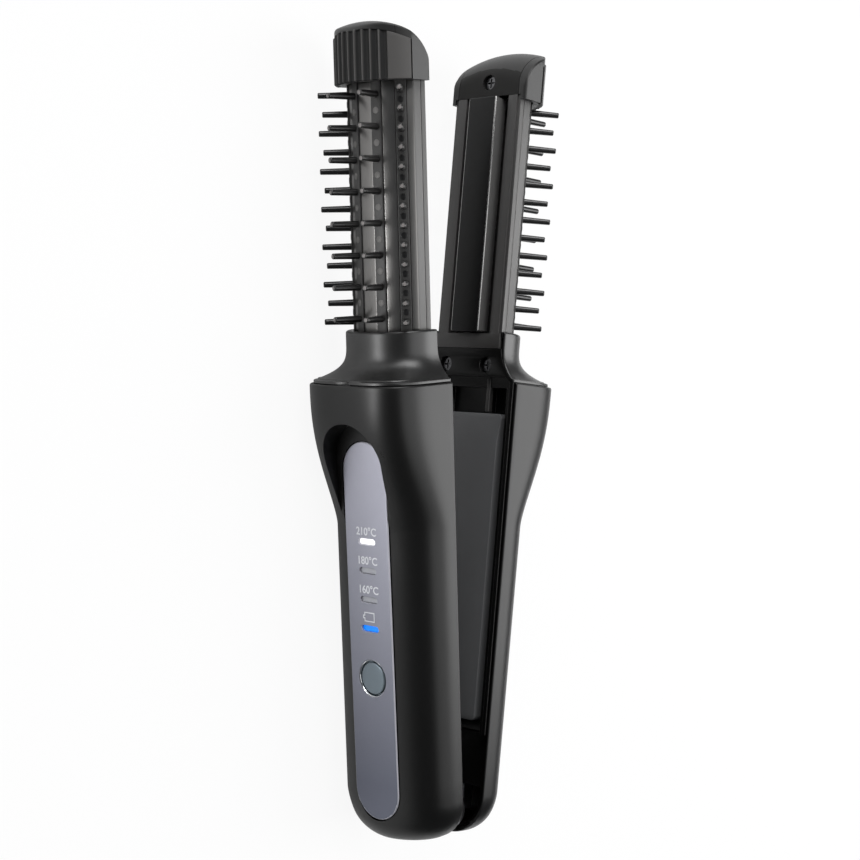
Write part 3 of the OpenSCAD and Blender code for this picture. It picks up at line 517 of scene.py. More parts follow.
alongArm = (1, 0.03, 1)
looks.update({
    "casing": plastic("casingPlastic", (0.003, 0.0028, 0.0027), 0.36,
                      grain=0.16, relief=0.003, specular=0.42),
    "liner": plastic("linerPlastic", (0.004, 0.004, 0.004), 0.34, relief=0.003, specular=0.2),
    "inner_block": plastic("blockPlastic", (0.115, 0.1165, 0.12), 0.5, grain=0.35, relief=0.02),
    "neck": plastic("neckPlastic", (0.006, 0.0058, 0.0056), 0.36, grain=0.2, relief=0.006, specular=0.75),
    "cap_grip": grooveShadedPlastic("gripPlastic", (0.075, 0.072, 0.07), (0.002, 0.002, 0.002)),
    # a light grey for the pins' ends, a painted highlight
    "pin_tip_highlight": plastic("pinTipPaintedHighlight", (0.2, 0.185, 0.18), 0.5, grain=0.3, relief=0.004),
    "cap_face": plastic("capFacePlastic", (0.014, 0.0135, 0.013), 0.45,
                        grain=0.26, relief=0.015, specular=0.2),
    "cap": plastic("capPlastic", (0.012, 0.0118, 0.0115), 0.42, grain=0.26, relief=0.02),
    "barrel_frame": plastic("railPlastic", (0.05, 0.048, 0.047), 0.45, grain=0.4, relief=0.02),
    "blasted": plastic("blastedCoat", (0.11, 0.108, 0.106), 0.45, grain=0.2, relief=0.02),
    "barrel_shell": metal("gunmetal", (0.2, 0.195, 0.19), 0.3, lay=alongArm),
    "pins": plastic("pinPlastic", (0.006, 0.0056, 0.0056), 0.28, grain=0.5, relief=0.0004, specular=0.8),
    "strip": plastic("stripPlastic", (0.04, 0.039, 0.038), 0.45, grain=0.25, relief=0.012),
    "plate": plastic("ceramicCoat", (0.007, 0.007, 0.0072), 0.36, grain=0.1, relief=0.002, specular=0.2),
    "polished": metal("polishedEdge", (0.36, 0.355, 0.35), 0.26, lay=alongArm),
    "disc": plastic("discPlastic", (0.13, 0.125, 0.12), 0.45, grain=0.25, relief=0.008),
    "heater": plastic("heaterCeramic", (0.75, 0.71, 0.62), 0.6, grain=0.4, relief=0.02),
    "spring_steel": metal("springSteel", (0.6, 0.61, 0.63), 0.25),
    "lead": plastic("leadSilicone", (0.6, 0.56, 0.48), 0.55, grain=0.5),
    "battery_lead": plastic("redSilicone", (0.42, 0.03, 0.025), 0.5, grain=0.5),
    "dark_screw": metal("blackenedSteel", (0.12, 0.12, 0.125), 0.3, grain=0.3),
    "hinge_steel": metal("hingeSteel", (0.42, 0.43, 0.45), 0.35, grain=0.4, relief=0.004),
    "panel": lacquerWithPaintedReflection("panelLacquerPaintedReflection", (0.54, 0.54, 0.62), (0.15, 0.16, 0.205), -0.095, 0),
    # a light grey for the panel's rim and slot walls, a painted highlight
    "panel_edge_highlight": plastic("panelEdgePaintedHighlight", (0.5, 0.5, 0.55), 0.35, grain=0.1, relief=0.001),
    "button": metal("buttonFace", (0.20, 0.24, 0.27), 0.42, grain=0.25, relief=0.006),
    "bright_ring": metal("brightRing", (0.75, 0.76, 0.78), 0.14),
    "window_white": lens("windowWhite", (1, 1, 1), 0.9),
    "window_grey": lens("windowGrey", (0.55, 0.56, 0.6), 0),
    "window_blue": lens("windowBlue", (0.0, 0.2, 0.85), 0.85),
    "led": lens("ledResin", (0.8, 0.72, 0.4), 0),
    "board": solderMask("solderMask"),
    "chip": plastic("chipMoulding", (0.02, 0.02, 0.022), 0.5, grain=0.4),
    "switch_metal": metal("switchTin", (0.6, 0.61, 0.62), 0.3),
    "socket_metal": metal("socketTin", (0.6, 0.61, 0.63), 0.25, grain=0.3),
    "battery": wrapped("batteryWrap", (0.03, 0.12, 0.32)),
    "ink": plastic("whiteInk", (0.85, 0.86, 0.9), 0.5, grain=0.08, relief=0.002),
})
for node, piece in frame["nodes"].items():
    coat(piece, slotOf[node])
print("materials:", len(looks))


# Casings: the handle's outer halves, with the thumb scoop and the panel's bed in the front one
casing = {
    "gripDepth": 18.8,
    "shoulderDepth": (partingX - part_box("front_casing")[0].x) / mm,
    "swell": 40.2,  # height of the shoulder's swelling
    "swellPowers": (1.4, 2.6),  # of its start and its end
    "lean": 0.9,  # of the panel, in degrees
    "leanFrom": 59.4,
    "gripFlat": 6,
    "shoulderFlat": 10,
    "flatShare": 0.4,  # of the depth, at most
    "gripPower": 2.2,
    "shoulderPower": 3.1,
    "tailPower": 1.8,
    "tailDepth": 5.8,
    "tailWidth": 12,
    "wall": 2,
    "edge": 3.7,
    "edgeRound": 0.45,
    "topRound": 0.5,
    "seatWall": 1.6,
}
panel = {
    "depth": 18.35,
    "height": 59.4,
    "width": 16.5,
    "length": 106,
    "thickness": 1.3,
    "crown": 220,
    "proud": 0.2,
    "round": 0.35,
    "edge": 0.3,  # width of its light rim, a painted highlight
    "under": 0.4,  # gap under the panel
    "bed": 0.3,  # and around it
    "bedReach": 3,
    "bedCut": (-6, 0),  # ends of the cuts through the bed
    "panelCut": (-3, 1),  # and through the panel
    "scoopWidth": 21.5,
    "scoopDrop": 10.3,  # from the top of the casing
    "scoopFoot": 38,  # below the scoop's top, where it has narrowed to the panel
    "scoopWall": 1.4,
    "scoopFloor": 0.1,
    "scoopReach": 14,
    "cupReach": 12,
}
button = {
    "diameter": 9.4,
    "height": 46.5,
    "ring": 0.6,
    "gap": 0.22,
    "sink": 0.1,
    "dishDepth": 0.2,
    "dishWidth": 6.4,
    "well": 1.1,  # in the casing, around the button
}
indicator = {
    "count": 4,
    "width": 6.4,
    "height": 1.6,
    "lowest": 60.5,
    "pitch": 8.1,
    "sink": 0.3,
    "depth": 4.4,
    "round": 0.18,
    "fit": 0.02,
    "panelGap": 0.12,
    "casingGap": 0.3,
}
lean = math.radians(casing["lean"])
panelPlace = Matrix.Translation((panel["depth"], 0, panel["height"])) @ Matrix.Rotation(lean, 4, "Y")


def swelling(z):
    start, end = casing["swellPowers"]
    rise = clamp((z - casingTop + casing["swell"]) / casing["swell"])
    return 1 - (1 - rise ** start) ** end


def tailInset(z, radius):
    return radius - math.sqrt(radius ** 2 - (radius - z) ** 2) if z < radius else 0


def casingSection(z):
    flareZ = casingTop - casing["swell"]
    leaning = casing["gripDepth"] + (min(z, flareZ) - casing["leanFrom"]) * math.tan(lean)
    depth = mix(leaning, casing["shoulderDepth"], swelling(z)) - tailInset(z, casing["tailDepth"])
    half = gripHalf - tailInset(z, casing["tailWidth"])
    flat = min(mix(casing["gripFlat"], casing["shoulderFlat"], swelling(z)), casing["flatShare"] * depth)
    if z < casing["tailWidth"]:
        power = mix(casing["tailPower"], casing["gripPower"], z / casing["tailWidth"])
    else:
        power = mix(casing["gripPower"], casing["shoulderPower"], swelling(z))
    return flat, depth, half, power


def sectionColumns():
    # near edge and side, the round front, then the far side and edge
    side = [("edge", angle) for angle in (0, 30, 60, 90)] + [("side", share) for share in (0.3, 0.65)]
    near = [(kind, value, -1) for kind, value in side]
    far = [(kind, value, 1) for kind, value in reversed(side)]
    return near + [("round", angle, 0) for angle in spread(0, 180, 72)] + far


def sectionPoint(column, section, edge, inset):
    flat, depth, half, power = section
    kind, value, side = column
    depth, half, corner = depth - inset, half - inset, casing["edgeRound"]
    if kind == "edge":
        return edge + corner * (1 - cosine(value)), side * (half - corner * (1 - sine(value)))
    if kind == "side":
        return mix(edge + corner, flat, value), side * half
    across, out = cosine(value), abs(sine(value))
    y = -math.copysign(half * abs(across) ** (2 / power), across)
    return flat + (depth - flat) * out ** (2 / power), y


def casingSkin(name):
    rim, shoulderZ = casing["topRound"], casingTop - casing["swell"]
    tail = {casing[size] * (1 - cosine(angle))
            for size in ("tailDepth", "tailWidth") for angle in range(0, 91, 6)}
    grip = spread(casing["tailWidth"], shoulderZ, 12)[1:-1]
    rows = [(z, 0) for z in sorted(tail) + grip + spread(shoulderZ, casingTop - rim, 36)]
    rows += [(casingTop - rim * (1 - sine(angle)), rim * (1 - cosine(angle))) for angle in (30, 60, 90)]

    def place(column, row):
        z, inset = row
        return (*sectionPoint(column, casingSection(z), casing["edge"], inset), z)

    piece = skin(name, sectionColumns(), rows, place)
    close(piece, lambda spot: spot.z < 0.001)
    return piece


def scoopOutline(grow):
    radius = panel["scoopWidth"] / 2 + grow
    archZ = casingTop - panel["scoopDrop"] - panel["scoopWidth"] / 2 - panel["height"]
    footZ = casingTop - panel["scoopDrop"] - panel["scoopFoot"] - panel["height"]
    foot = panel["width"] / 2 + panel["bed"] + grow
    arch = [polar(radius, angle, 0, archZ) for angle in range(0, 181, 5)]
    return [(foot, footZ)] + arch + [(-foot, footZ)]


def onPanel(piece):
    piece.data.transform(panelPlace)
    return piece


def indicatorHeight(index):
    return indicator["lowest"] + index * indicator["pitch"] - panel["height"]


def slotOutline(grow, index):
    # a window's outline, grown all round and lying across the panel
    outline = stadium(indicator["height"] + 2 * grow, indicator["width"] + 2 * grow, 12)
    return [(along, across + indicatorHeight(index)) for across, along in outline]


def slots(grow, low, high):
    return [prism("slot", slotOutline(grow, index), low, high, "X") for index in range(indicator["count"])]


def buttonRod(name, radius, low, high):
    height = button["height"] - panel["height"]
    return rod(name, radius, (low, 0, height), (high, 0, height), 64)


def frontCasing():
    outer = casingSkin("casingForm")
    shell = copyOf(outer, "frontCasing")
    modify(shell, "SOLIDIFY", thickness=casing["wall"], offset=-1, use_even_offset=True)
    close(outer, lambda spot: spot.z > casingTop - 0.001)
    close(outer, lambda spot: spot.x < casing["edge"] + 0.001)
    cupOutline = scoopOutline(panel["scoopWall"])
    cup = onPanel(prism("scoopCup", cupOutline, -casing["seatWall"], panel["cupReach"], "X"))
    combine(cup, "INTERSECT", outer)
    combine(shell, "UNION", cup)
    bed = stadium(panel["width"] + 2 * panel["bed"], panel["length"] + 2 * panel["bed"])
    cutters = [prism("scoop", scoopOutline(0), panel["scoopFloor"], panel["scoopReach"], "X"),
               prism("bed", bed, -panel["thickness"], panel["bedReach"], "X"),
               buttonRod("buttonWell", button["diameter"] / 2 + button["well"], *panel["bedCut"]),
               *slots(indicator["casingGap"], *panel["bedCut"])]
    combine(shell, "DIFFERENCE", *[onPanel(cutter) for cutter in cutters])
    tidy(shell, merge=shellMerge)
    return settle(shell, "front", "front_casing")


def rearCasing():
    shell = casingSkin("rearCasing")
    modify(shell, "SOLIDIFY", thickness=casing["wall"], offset=-1, use_even_offset=True)
    tidy(shell, merge=shellMerge)
    return settle(shell, "rear", "rear_casing")


frontCasing()
rearCasing()
print("casings: done")


# Necks, which flare into a lip on the casing
neck = {
    "width": 28.4,
    "depth": 18.3,
    "lip": 1,
    "lipInset": 1,
    "flare": 9,
    "flareStep": 0.5,  # in from the lip's outside
    "flarePowers": (4, 2.4),  # of the depth and of the width
    "power": 2,
    "edge": 3.3,
    "wall": 1.7,
    "topRound": 0.6,
    "rimRise": 0.45,
    "rimZone": 1.5,
    "latch": (-1, 1.5, 6.8),  # along y: the notch, then the tongue
    "latchDepth": 1.4,
    "latchRise": 0.3,
    "barrelRadius": 15.3,
    "barrelHalf": 12.3,
    "fit": 0.15,
}


def neckSkin(name, latched):
    lipTop = casingTop + neck["lip"]
    flareTop = lipTop + neck["flare"]
    lipHalf, lipDepth = gripHalf - neck["lipInset"], casing["shoulderDepth"] - neck["lipInset"]
    lip = (casing["shoulderFlat"], lipDepth, lipHalf, casing["shoulderPower"])

    def section(z):
        deep, wide = [clamp((flareTop - z) / neck["flare"]) ** power for power in neck["flarePowers"]]
        return (mix(casing["gripFlat"], casing["shoulderFlat"], deep),
                mix(neck["depth"], lipDepth - neck["flareStep"], deep),
                mix(neck["width"] / 2, lipHalf - neck["flareStep"], wide),
                mix(neck["power"], casing["shoulderPower"], deep))

    rows = [(casingTop + rise, lip, inset) for rise, inset in ((0.02, 0.3), (0.25, 0))]
    rows += [(lipTop + rise, lip, inset) for rise, inset in ((-0.25, 0), (-0.07, 0.08), (0, 0.28), (0, 0.45))]
    flare = [mix(lipTop + 0.04, flareTop, share ** 1.5) for share in spread(0, 1, 26)]
    rows += [(z, section(z), 0) for z in flare]
    top, rounding = section(flareTop), neck["topRound"]
    rows += [(z, top, 0) for z in spread(flareTop, neckTop - rounding, 4)[1:]]
    rows += [(neckTop - rounding * (1 - sine(angle)), top, rounding * (1 - cosine(angle)))
             for angle in (20, 40, 60, 80, 90)]
    rows.append((neckTop, None, 0))

    def rim(y, z):
        # the rim stands a little higher at its sides
        share = clamp((z - neckTop + neck["rimZone"]) / neck["rimZone"])
        return z + share * neck["rimRise"] * (2 * y / neck["width"]) ** 2

    def latch(x, y, z):
        # the front lip's latch: a notch with a raised tongue beside it
        low, middle, high = neck["latch"]
        if latched and casingTop + 0.02 < z < lipTop + 0.5 and x > lipDepth - 3:
            if low < y < middle:
                return min(x, lipDepth - neck["latchDepth"]), y, z
            if middle <= y < high:
                return x, y, max(z, lipTop + neck["latchRise"]) if z > lipTop - 0.3 else z
        return x, y, z

    def place(column, row):
        z, shape, inset = row
        if shape:
            x, y = sectionPoint(column, shape, neck["edge"], inset)
            return latch(x, y, rim(y, z))
        x, y = sectionPoint(column, top, neck["edge"], 0)
        z = rim(y, z)
        half, radius = neck["barrelHalf"] + neck["fit"], neck["barrelRadius"] + neck["fit"]
        scale = min(half / max(abs(y), 0.001), radius / math.hypot(x, y))
        return x * scale if x > neck["edge"] + 1 else x, y * scale, z

    piece = skin(name, sectionColumns(), rows, place)
    edit(piece, everything, outwards)
    modify(piece, "SOLIDIFY", thickness=neck["wall"], offset=-1, use_even_offset=True)
    return piece


for arm in ("front", "rear"):
    piece = neckSkin(arm + "Neck", arm == "front")
    tidy(piece, merge=shellMerge)
    settle(piece, arm, arm + "_neck")
print("necks: done")


# Caps: a crowned cover in three parts with a ribbed grip round its outside
cap = {
    "width": 28.3,
    "depth": 19.1,  # of the cover, without the grip
    "flat": 10.5,  # where the grip begins
    "face": 3.6,
    "corner": 0.9,  # rounding between the inner face and the sides
    "crownRadius": 39,
    "crownRise": 8.9,
    "crownDrop": 4.6,
    "crownPeak": 14.5,
    "crownPower": 1.8,
    "crownEnd": 19.9,
    "topRound": 0.5,
    "lift": 1.4,
    "innerHalf": 11.5,
    "seam": 0.16,
    "gripProud": 0.4,
    "gripWall": 0.9,
    "gripDrop": 2.5,  # of the grip's top edge below the crown's peak
    "gripFall": 3.1,  # and its further fall towards the sides
    "gripPower": 3.5,  # of that fall
    "gripSeam": 0.4,
    "grooves": 9,
    "pitch": 2.5,
    "grooveRadius": 1.1,
    "grooveDepth": 0.9,
    "gripFoot": 0.1,  # of the grip below the cover's foot
    "gripRound": 0.3,
    "gripSkin": 0.3,
    "shadeDepthShare": 0.6,  # of a groove's depth, at which its painted shade is full
    "shadePower": 1.5,
    "tongue": 2.6,
    "screwRise": 5.6,
}
capBulge = cap["depth"] - cap["flat"]
capCenter = (cap["depth"] ** 2 - cap["flat"] ** 2 - (cap["width"] / 2) ** 2) / (2 * capBulge)
capRadius = cap["depth"] - capCenter


def crownHeight(x, y):
    if x < cap["crownPeak"]:
        reach = cap["crownPeak"] - cap["face"]
        share, power = clamp((cap["crownPeak"] - x) / reach), cap["crownPower"]
        rho = cap["crownRadius"] - cap["crownRise"] * (1 - (1 - share ** power) ** (1 / power))
    else:
        share = clamp((x - cap["crownPeak"]) / (cap["crownEnd"] - cap["crownPeak"]))
        rho = cap["crownRadius"] - cap["crownDrop"] * (1 - math.sqrt(1 - share ** 2))
    return capTop - cap["crownRadius"] + math.sqrt(rho ** 2 - y ** 2)


def gripHeight(y):
    return capTop - cap["gripDrop"] - cap["gripFall"] * (abs(y) * 2 / cap["width"]) ** cap["gripPower"]


def capOutline():
    face, half, corner = cap["face"], cap["width"] / 2, cap["corner"]
    bend = [(face + corner * (1 - cosine(angle)), half - corner * (1 - sine(angle)))
            for angle in range(0, 91, 15)]
    side = [(x, half) for x in spread(face + corner, cap["flat"], 6)[1:-1]]
    sweep = math.degrees(math.acos((cap["flat"] - capCenter) / capRadius))
    arc = [polar(capRadius, angle, capCenter) for angle in spread(sweep, 0, 48)[:-1]]
    farSide = [(face, y) for y in spread(0, half - corner, 12)] + bend + side + arc
    return farSide + [(capCenter + capRadius, 0)] + [(x, -y) for x, y in reversed(farSide)]


def capCover(name):
    middle, center = Vector(((cap["face"] + cap["depth"]) / 2, 0)), Vector((capCenter, 0))
    rows = [("side", share) for share in spread(0, 1, 4)] + [("step", 0)]
    rows += [("round", angle) for angle in range(0, 91, 15)]
    rows += [("lid", share ** 1.7) for share in spread(0, 1, 26)[1:]]

    def place(point, row):
        kind, value = row
        spot = Vector(point)
        inGrip = point[0] > cap["flat"] + 0.01
        gripTop = min(gripHeight(point[1]), crownHeight(*point) - cap["topRound"] - 0.1)
        if kind == "side":
            if inGrip:
                spot = center + (spot - center) * (1 - cap["gripWall"] / capRadius)
            return spot.x, spot.y, mix(barrelTop, gripTop, value)
        if kind == "step":
            return spot.x, spot.y, gripTop + 0.02
        reach = (spot - middle).length
        if kind == "round":
            inset = cap["topRound"] * (1 - cosine(value)) / reach
            spot = middle + (spot - middle) * (1 - inset)
            return spot.x, spot.y, crownHeight(spot.x, spot.y) - cap["topRound"] * (1 - sine(value))
        spot = middle + (spot - middle) * (1 - cap["topRound"] / reach) * (1 - value)
        return spot.x, spot.y, crownHeight(spot.x, spot.y)

    piece = skin(name, capOutline(), rows, place)
    tidy(piece)
    close(piece, lambda spot: spot.z < barrelTop + 0.001)
    face, screwZ, top = cap["face"], barrelTop + cap["screwRise"], barrelTop + cap["lift"]
    combine(piece, "DIFFERENCE",
            slab("lift", (face - 1, face + cap["tongue"]), (-cap["innerHalf"], cap["innerHalf"]),
                 (barrelTop - 1, top)),
            barrelForm("barrelEnd", neck["fit"], barrelTop - 1, top),
            rod("screwWell", screw["wellRadius"], (face - 1, 0, screwZ),
                (face + screw["sink"] + screw["headHeight"], 0, screwZ)))
    return piece


def around(radius, angle):
    # a place round the barrel, its angle counted from the negative y axis
    return radius * sine(angle), -radius * cosine(angle)


def barrelForm(name, grow, low, high):
    # the barrel's plan: a disc with flat sides, cut off at the frame's inner face
    radius, half, face = neck["barrelRadius"] + grow, neck["barrelHalf"] + grow, cap["face"] - grow
    start = math.degrees(math.asin(face / radius))
    outline = [(face, -half)]
    for angle in spread(start, 180 - start, 60):
        x, y = around(radius, angle)
        if abs(y) <= half:
            outline.append((x, y))
        elif abs(outline[-1][1]) != half:
            outline.append((math.sqrt(radius ** 2 - half ** 2), math.copysign(half, y)))
    return prism(name, outline + [(face, half)], low, high)


def split(piece, name, *cuts):
    # a copy that keeps one side of each cut, which is a place along y and the side that stays
    part = copyOf(piece, name)
    for y, side in cuts:
        edit(part, everything, (bpy.ops.mesh.bisect, {
            "plane_co": (0, y, 0), "plane_no": (0, side, 0), "use_fill": True, "clear_inner": True}))
    return part


def capGrip(name):
    # a skin with lengthwise grooves, which notes how proud each point of it stands, for the painted shade in
    # its grooves
    sweep = math.degrees(math.acos((cap["flat"] + cap["gripSeam"] - capCenter) / capRadius))
    outer = capRadius + cap["gripProud"]

    def grooved(angle):
        along = math.radians(angle) * outer
        nearest = round(along / cap["pitch"])
        if abs(nearest) > (cap["grooves"] - 1) / 2:
            return 0
        off = abs(along - nearest * cap["pitch"])
        rim = cap["grooveRadius"] - cap["grooveDepth"]
        return max(0, math.sqrt(max(0, cap["grooveRadius"] ** 2 - off ** 2)) - rim)

    rows = [("foot", 1), ("foot", 0), ("bend", 0)] + [("side", share) for share in spread(0, 1, 14)]
    rows += [("top", angle) for angle in (30, 60, 90)] + [("lid", 0.5), ("lid", 1)]
    bevel, foot = cap["gripRound"], barrelTop - cap["gripFoot"]
    inner = capRadius - cap["gripWall"] + 0.02

    def place(angle, row):
        kind, value = row
        radius, z = outer - grooved(angle), gripHeight(capRadius * sine(angle))
        if kind == "foot":
            radius, z = mix(radius - bevel, inner, value), foot
        elif kind == "bend":
            z = foot + bevel
        elif kind == "side":
            z = mix(foot + bevel + 0.05, z - bevel, value)
        elif kind == "top":
            radius, z = radius - bevel * (1 - cosine(value)), z - bevel * (1 - sine(value))
        else:
            radius = mix(radius - bevel, inner, value)
        return (*polar(radius, angle, capCenter), z)

    piece = skin(name, spread(-sweep, sweep, 190), rows, place)
    edit(piece, everything, outwards)
    modify(piece, "SOLIDIFY", thickness=cap["gripSkin"], offset=-1)
    grooveShadeMask = piece.data.attributes.new("grooveShadeMask", "FLOAT", "POINT")
    for vertex, spot in zip(grooveShadeMask.data, piece.data.vertices):
        sunk = outer - math.hypot(spot.co.x - capCenter, spot.co.y)
        vertex.value = clamp(1 - sunk / (cap["shadeDepthShare"] * cap["grooveDepth"])) ** cap["shadePower"]
    return piece


screw = {
    "headRadius": 2.1,
    "headHeight": 1,
    "headRound": 0.22,
    "sink": 1,
    "wellRadius": 2.25,
    "shankRadius": 1,
    "cross": 0.5,
    "crossDepth": 0.7,
    "crossHalf": 1.3,
    "capLength": 4.9,
    "neckLength": 4.7,
    "neckSide": 7.7,
    "neckRise": 4.7,
}


def screwPiece(name, start, length):
    # a pan head with a cross recess, on its shank
    x, y, z = start
    head = rod(name, screw["headRadius"], (x, y, z), (x + screw["headHeight"], y, z), 40)
    rounded(head, screw["headRound"], 3)
    shank = rod("shank", screw["shankRadius"], (x + screw["headHeight"] / 2, y, z), (x + length, y, z), 24)
    combine(head, "UNION", shank)
    half, wide = screw["crossHalf"], screw["cross"] / 2
    for across, up in ((half, wide), (wide, half)):
        combine(head, "DIFFERENCE", slab("recess", (x - 1, x + screw["crossDepth"]), (y - across, y + across),
                                         (z - up, z + up)))
    return head


for arm in ("front", "rear"):
    whole = capCover("capWhole")
    low, high = cap["innerHalf"] - cap["seam"] / 2, cap["innerHalf"] + cap["seam"] / 2
    inner = split(whole, arm + "CapInner", (low, -1), (-low, 1))
    bands = [split(whole, arm + "CapBand" + label, (side * high, side))
             for label, side in (("Near", -1), ("Far", 1))]
    grip = capGrip(arm + "CapGrip")
    bpy.data.objects.remove(whole)
    paint(grip, "cap_grip")
    paint(paint(inner, "cap"), "cap_face", lambda face: face.normal.x < -0.9)
    for piece in (inner, *bands, grip):
        tidy(piece, smooth=30)
        settle(piece, arm, arm + "_cap")
    start = (cap["face"] + screw["sink"], 0, barrelTop + cap["screwRise"])
    capScrew = screwPiece(arm + "CapScrew", start, screw["capLength"])
    tidy(capScrew)
    settle(capScrew, arm, arm + "_cap_screw")
    x, z = neck["edge"] + screw["sink"], casingTop + screw["neckRise"]
    starts = [(x, side * screw["neckSide"], z) for side in (-1, 1)]
    pair = join(*[screwPiece("neckScrew", start, screw["neckLength"]) for start in starts])
    pair.name = arm + "NeckScrews"
    tidy(pair)
    settle(pair, arm, arm + "_neck_screws")
print("caps and screws: done")


# Barrels: metal shell, pin strips, plate, and the frame that carries them
barrel = {
    "shellRadius": 14.9,
    "shellThickness": 2.5,
    "half": 12.3,
    "edgeAngle": 25.2,
    "slotRadius": 13.35,
    "slotGap": 0.6,
    "below": 3,
    "above": 1.3,
    "round": 0.09,
    "frameRound": 0.2,
    "plateRound": 0.4,
}
strips = {
    "radius": 15.3,
    "seat": 13.5,
    "outer": (42.3, 53.7),  # from the negative y axis, in degrees
    "middle": (68.7, 80.1),
    "outerLean": 42,  # of the pins, from the x axis
    "middleLean": 13.5,
    "outerCount": 13,
    "middleCount": 8,
    "outerLengths": (8, 6.9),
    "middleLengths": (8.2,),
    "middleInset": 0.9,
    "start": 2.7,
    "end": 2.5,
    "rootRadius": 0.95,
    "tipRadius": 0.8,
    "tipRound": 0.3,
    "sunk": 0.6,
    "below": 2,  # of the strip, under the neck's top
    "round": 0.16,
    "discRadius": 0.9,
    "discSunk": 0.3,
    "discProud": 0.08,
    "discRound": 0.08,
}


def shellOutline():
    # round its outside with a slot for each pin strip, then back round its inside
    spans = []
    for low, high in (strips["outer"], strips["middle"]):
        spans += [(low - barrel["slotGap"], high + barrel["slotGap"]),
                  (180 - high - barrel["slotGap"], 180 - low + barrel["slotGap"])]
    spans.sort()
    first, last = barrel["edgeAngle"], 180 - barrel["edgeAngle"]
    stops = spread(first, last, 96)
    outer, start = [], first
    for low, high in spans + [(last, last)]:
        outer += [(angle, False) for angle in stops if start <= angle < low] + [(low, False)]
        if high > low:
            sunken = [angle for angle in stops if low < angle < high]
            outer += [(angle, True) for angle in (low, *sunken, high)] + [(high, False)]
        start = high + 0.001

    def spot(angle, sunken):
        flatSide = barrel["half"] / max(0.01, abs(cosine(angle)))
        radius = barrel["slotRadius"] if sunken else min(barrel["shellRadius"], flatSide)
        return around(radius, angle)

    inside = barrel["shellRadius"] - barrel["shellThickness"]
    inner = [around(inside, angle) for angle in spread(last, first, 40)]
    return [spot(*point) for point in outer] + inner


def ringOutline(span, low, high):
    angles = spread(*span, 8)
    return [around(high, angle) for angle in angles] + [around(low, angle) for angle in reversed(angles)]


def pinPiece(name, length):
    # one tapered pin along x from the strip's face, its tip rounded
    root, tip, edge, sunk = [strips[size] for size in ("rootRadius", "tipRadius", "tipRound", "sunk")]
    rounding = [polar(edge, turn, tip - edge, length - edge) for turn in (0, 30, 60, 90)]
    profile = [(0, -sunk), (root, -sunk), (tip, length - edge - 0.1), *rounding, (0, length)]
    piece = turned(name, profile, steps=20)
    # the tip's end is painted light grey, a painted highlight
    return paint(paint(piece, "pins"), "pin_tip_highlight", lambda face: face.center.x > length - 0.01)


def discPiece(name):
    # the flat disc between two pins
    piece = rod(name, strips["discRadius"], (-strips["discSunk"], 0, 0), (strips["discProud"], 0, 0), 20)
    rounded(piece, strips["discRound"], 2, 60)
    return piece


def pinStrip(name, kind, side):
    low, high = strips[kind]
    centre, lean = (low + high) / 2, strips[kind + "Lean"]
    count, lengths = strips[kind + "Count"], strips[kind + "Lengths"]
    inset = strips["middleInset"] if kind == "middle" else 0
    first, last = neckTop + strips["start"] + inset, barrelTop - strips["end"] - inset
    heights = spread(first, last, count - 1)
    strip = prism(name, ringOutline((low, high), strips["seat"], strips["radius"]),
                  neckTop - strips["below"], barrelTop + barrel["above"])
    rounded(strip, strips["round"], 2, 40)
    paint(strip, "strip")
    root = around(strips["radius"], centre)
    parts = []
    for index, height in enumerate(heights):
        pin = pinPiece("pin", lengths[index % len(lengths)])
        pin.data.transform(Matrix.Translation((*root, height)) @ Matrix.Rotation(math.radians(-lean), 4, "Z"))
        parts.append(pin)
        if index:
            disc = paint(discPiece("disc"), "disc" if kind == "middle" else "pins")
            between = (heights[index - 1] + height) / 2
            disc.data.transform(Matrix.Translation((*root, between))
                                @ Matrix.Rotation(math.radians(centre - 90), 4, "Z"))
            parts.append(disc)
    join(strip, *parts)
    if side > 0:
        strip.data.transform(Matrix.Scale(-1, 4, (0, 1, 0)))
    tidy(strip, smooth=40, merge=fineMerge)
    return strip


outside = (barrel["half"] - 0.3) * mm  # beyond it lie the frame's flat sides
for arm in ("front", "rear"):
    shell = prism(arm + "BarrelShell", shellOutline(), neckTop - barrel["below"], barrelTop + barrel["above"])
    rounded(shell, barrel["round"], 2, 50)
    tidy(shell, smooth=30, merge=fineMerge)
    paint(paint(shell, "barrel_shell"), "blasted", lambda face: abs(face.normal.y) > 0.98)
    settle(shell, arm, arm + "_barrel_shell")
    # the front arm is turned about, so its near side is the model's far one
    for number, (kind, side) in enumerate((("outer", -1), ("middle", -1), ("middle", 1), ("outer", 1)), 1):
        facing = -side if arm == "front" else side
        settle(pinStrip(f"{arm}PinStrip{number}", kind, facing), arm, f"{arm}_pin_strip_{number}")
    paint(dressed(arm + "_barrel_frame", arm + "BarrelFrame", barrel["frameRound"]), "blasted",
          lambda face: abs(face.center.z - middleZ) > outside)
    plate = dressed(arm + "_heater_plate", arm + "HeaterPlate", barrel["plateRound"])
    paint(plate, "polished", lambda face: 0.2 < abs(face.normal.z) < 0.98)
    paint(plate, "blasted", lambda face: abs(face.normal.z) >= 0.98)
print("barrels: done")


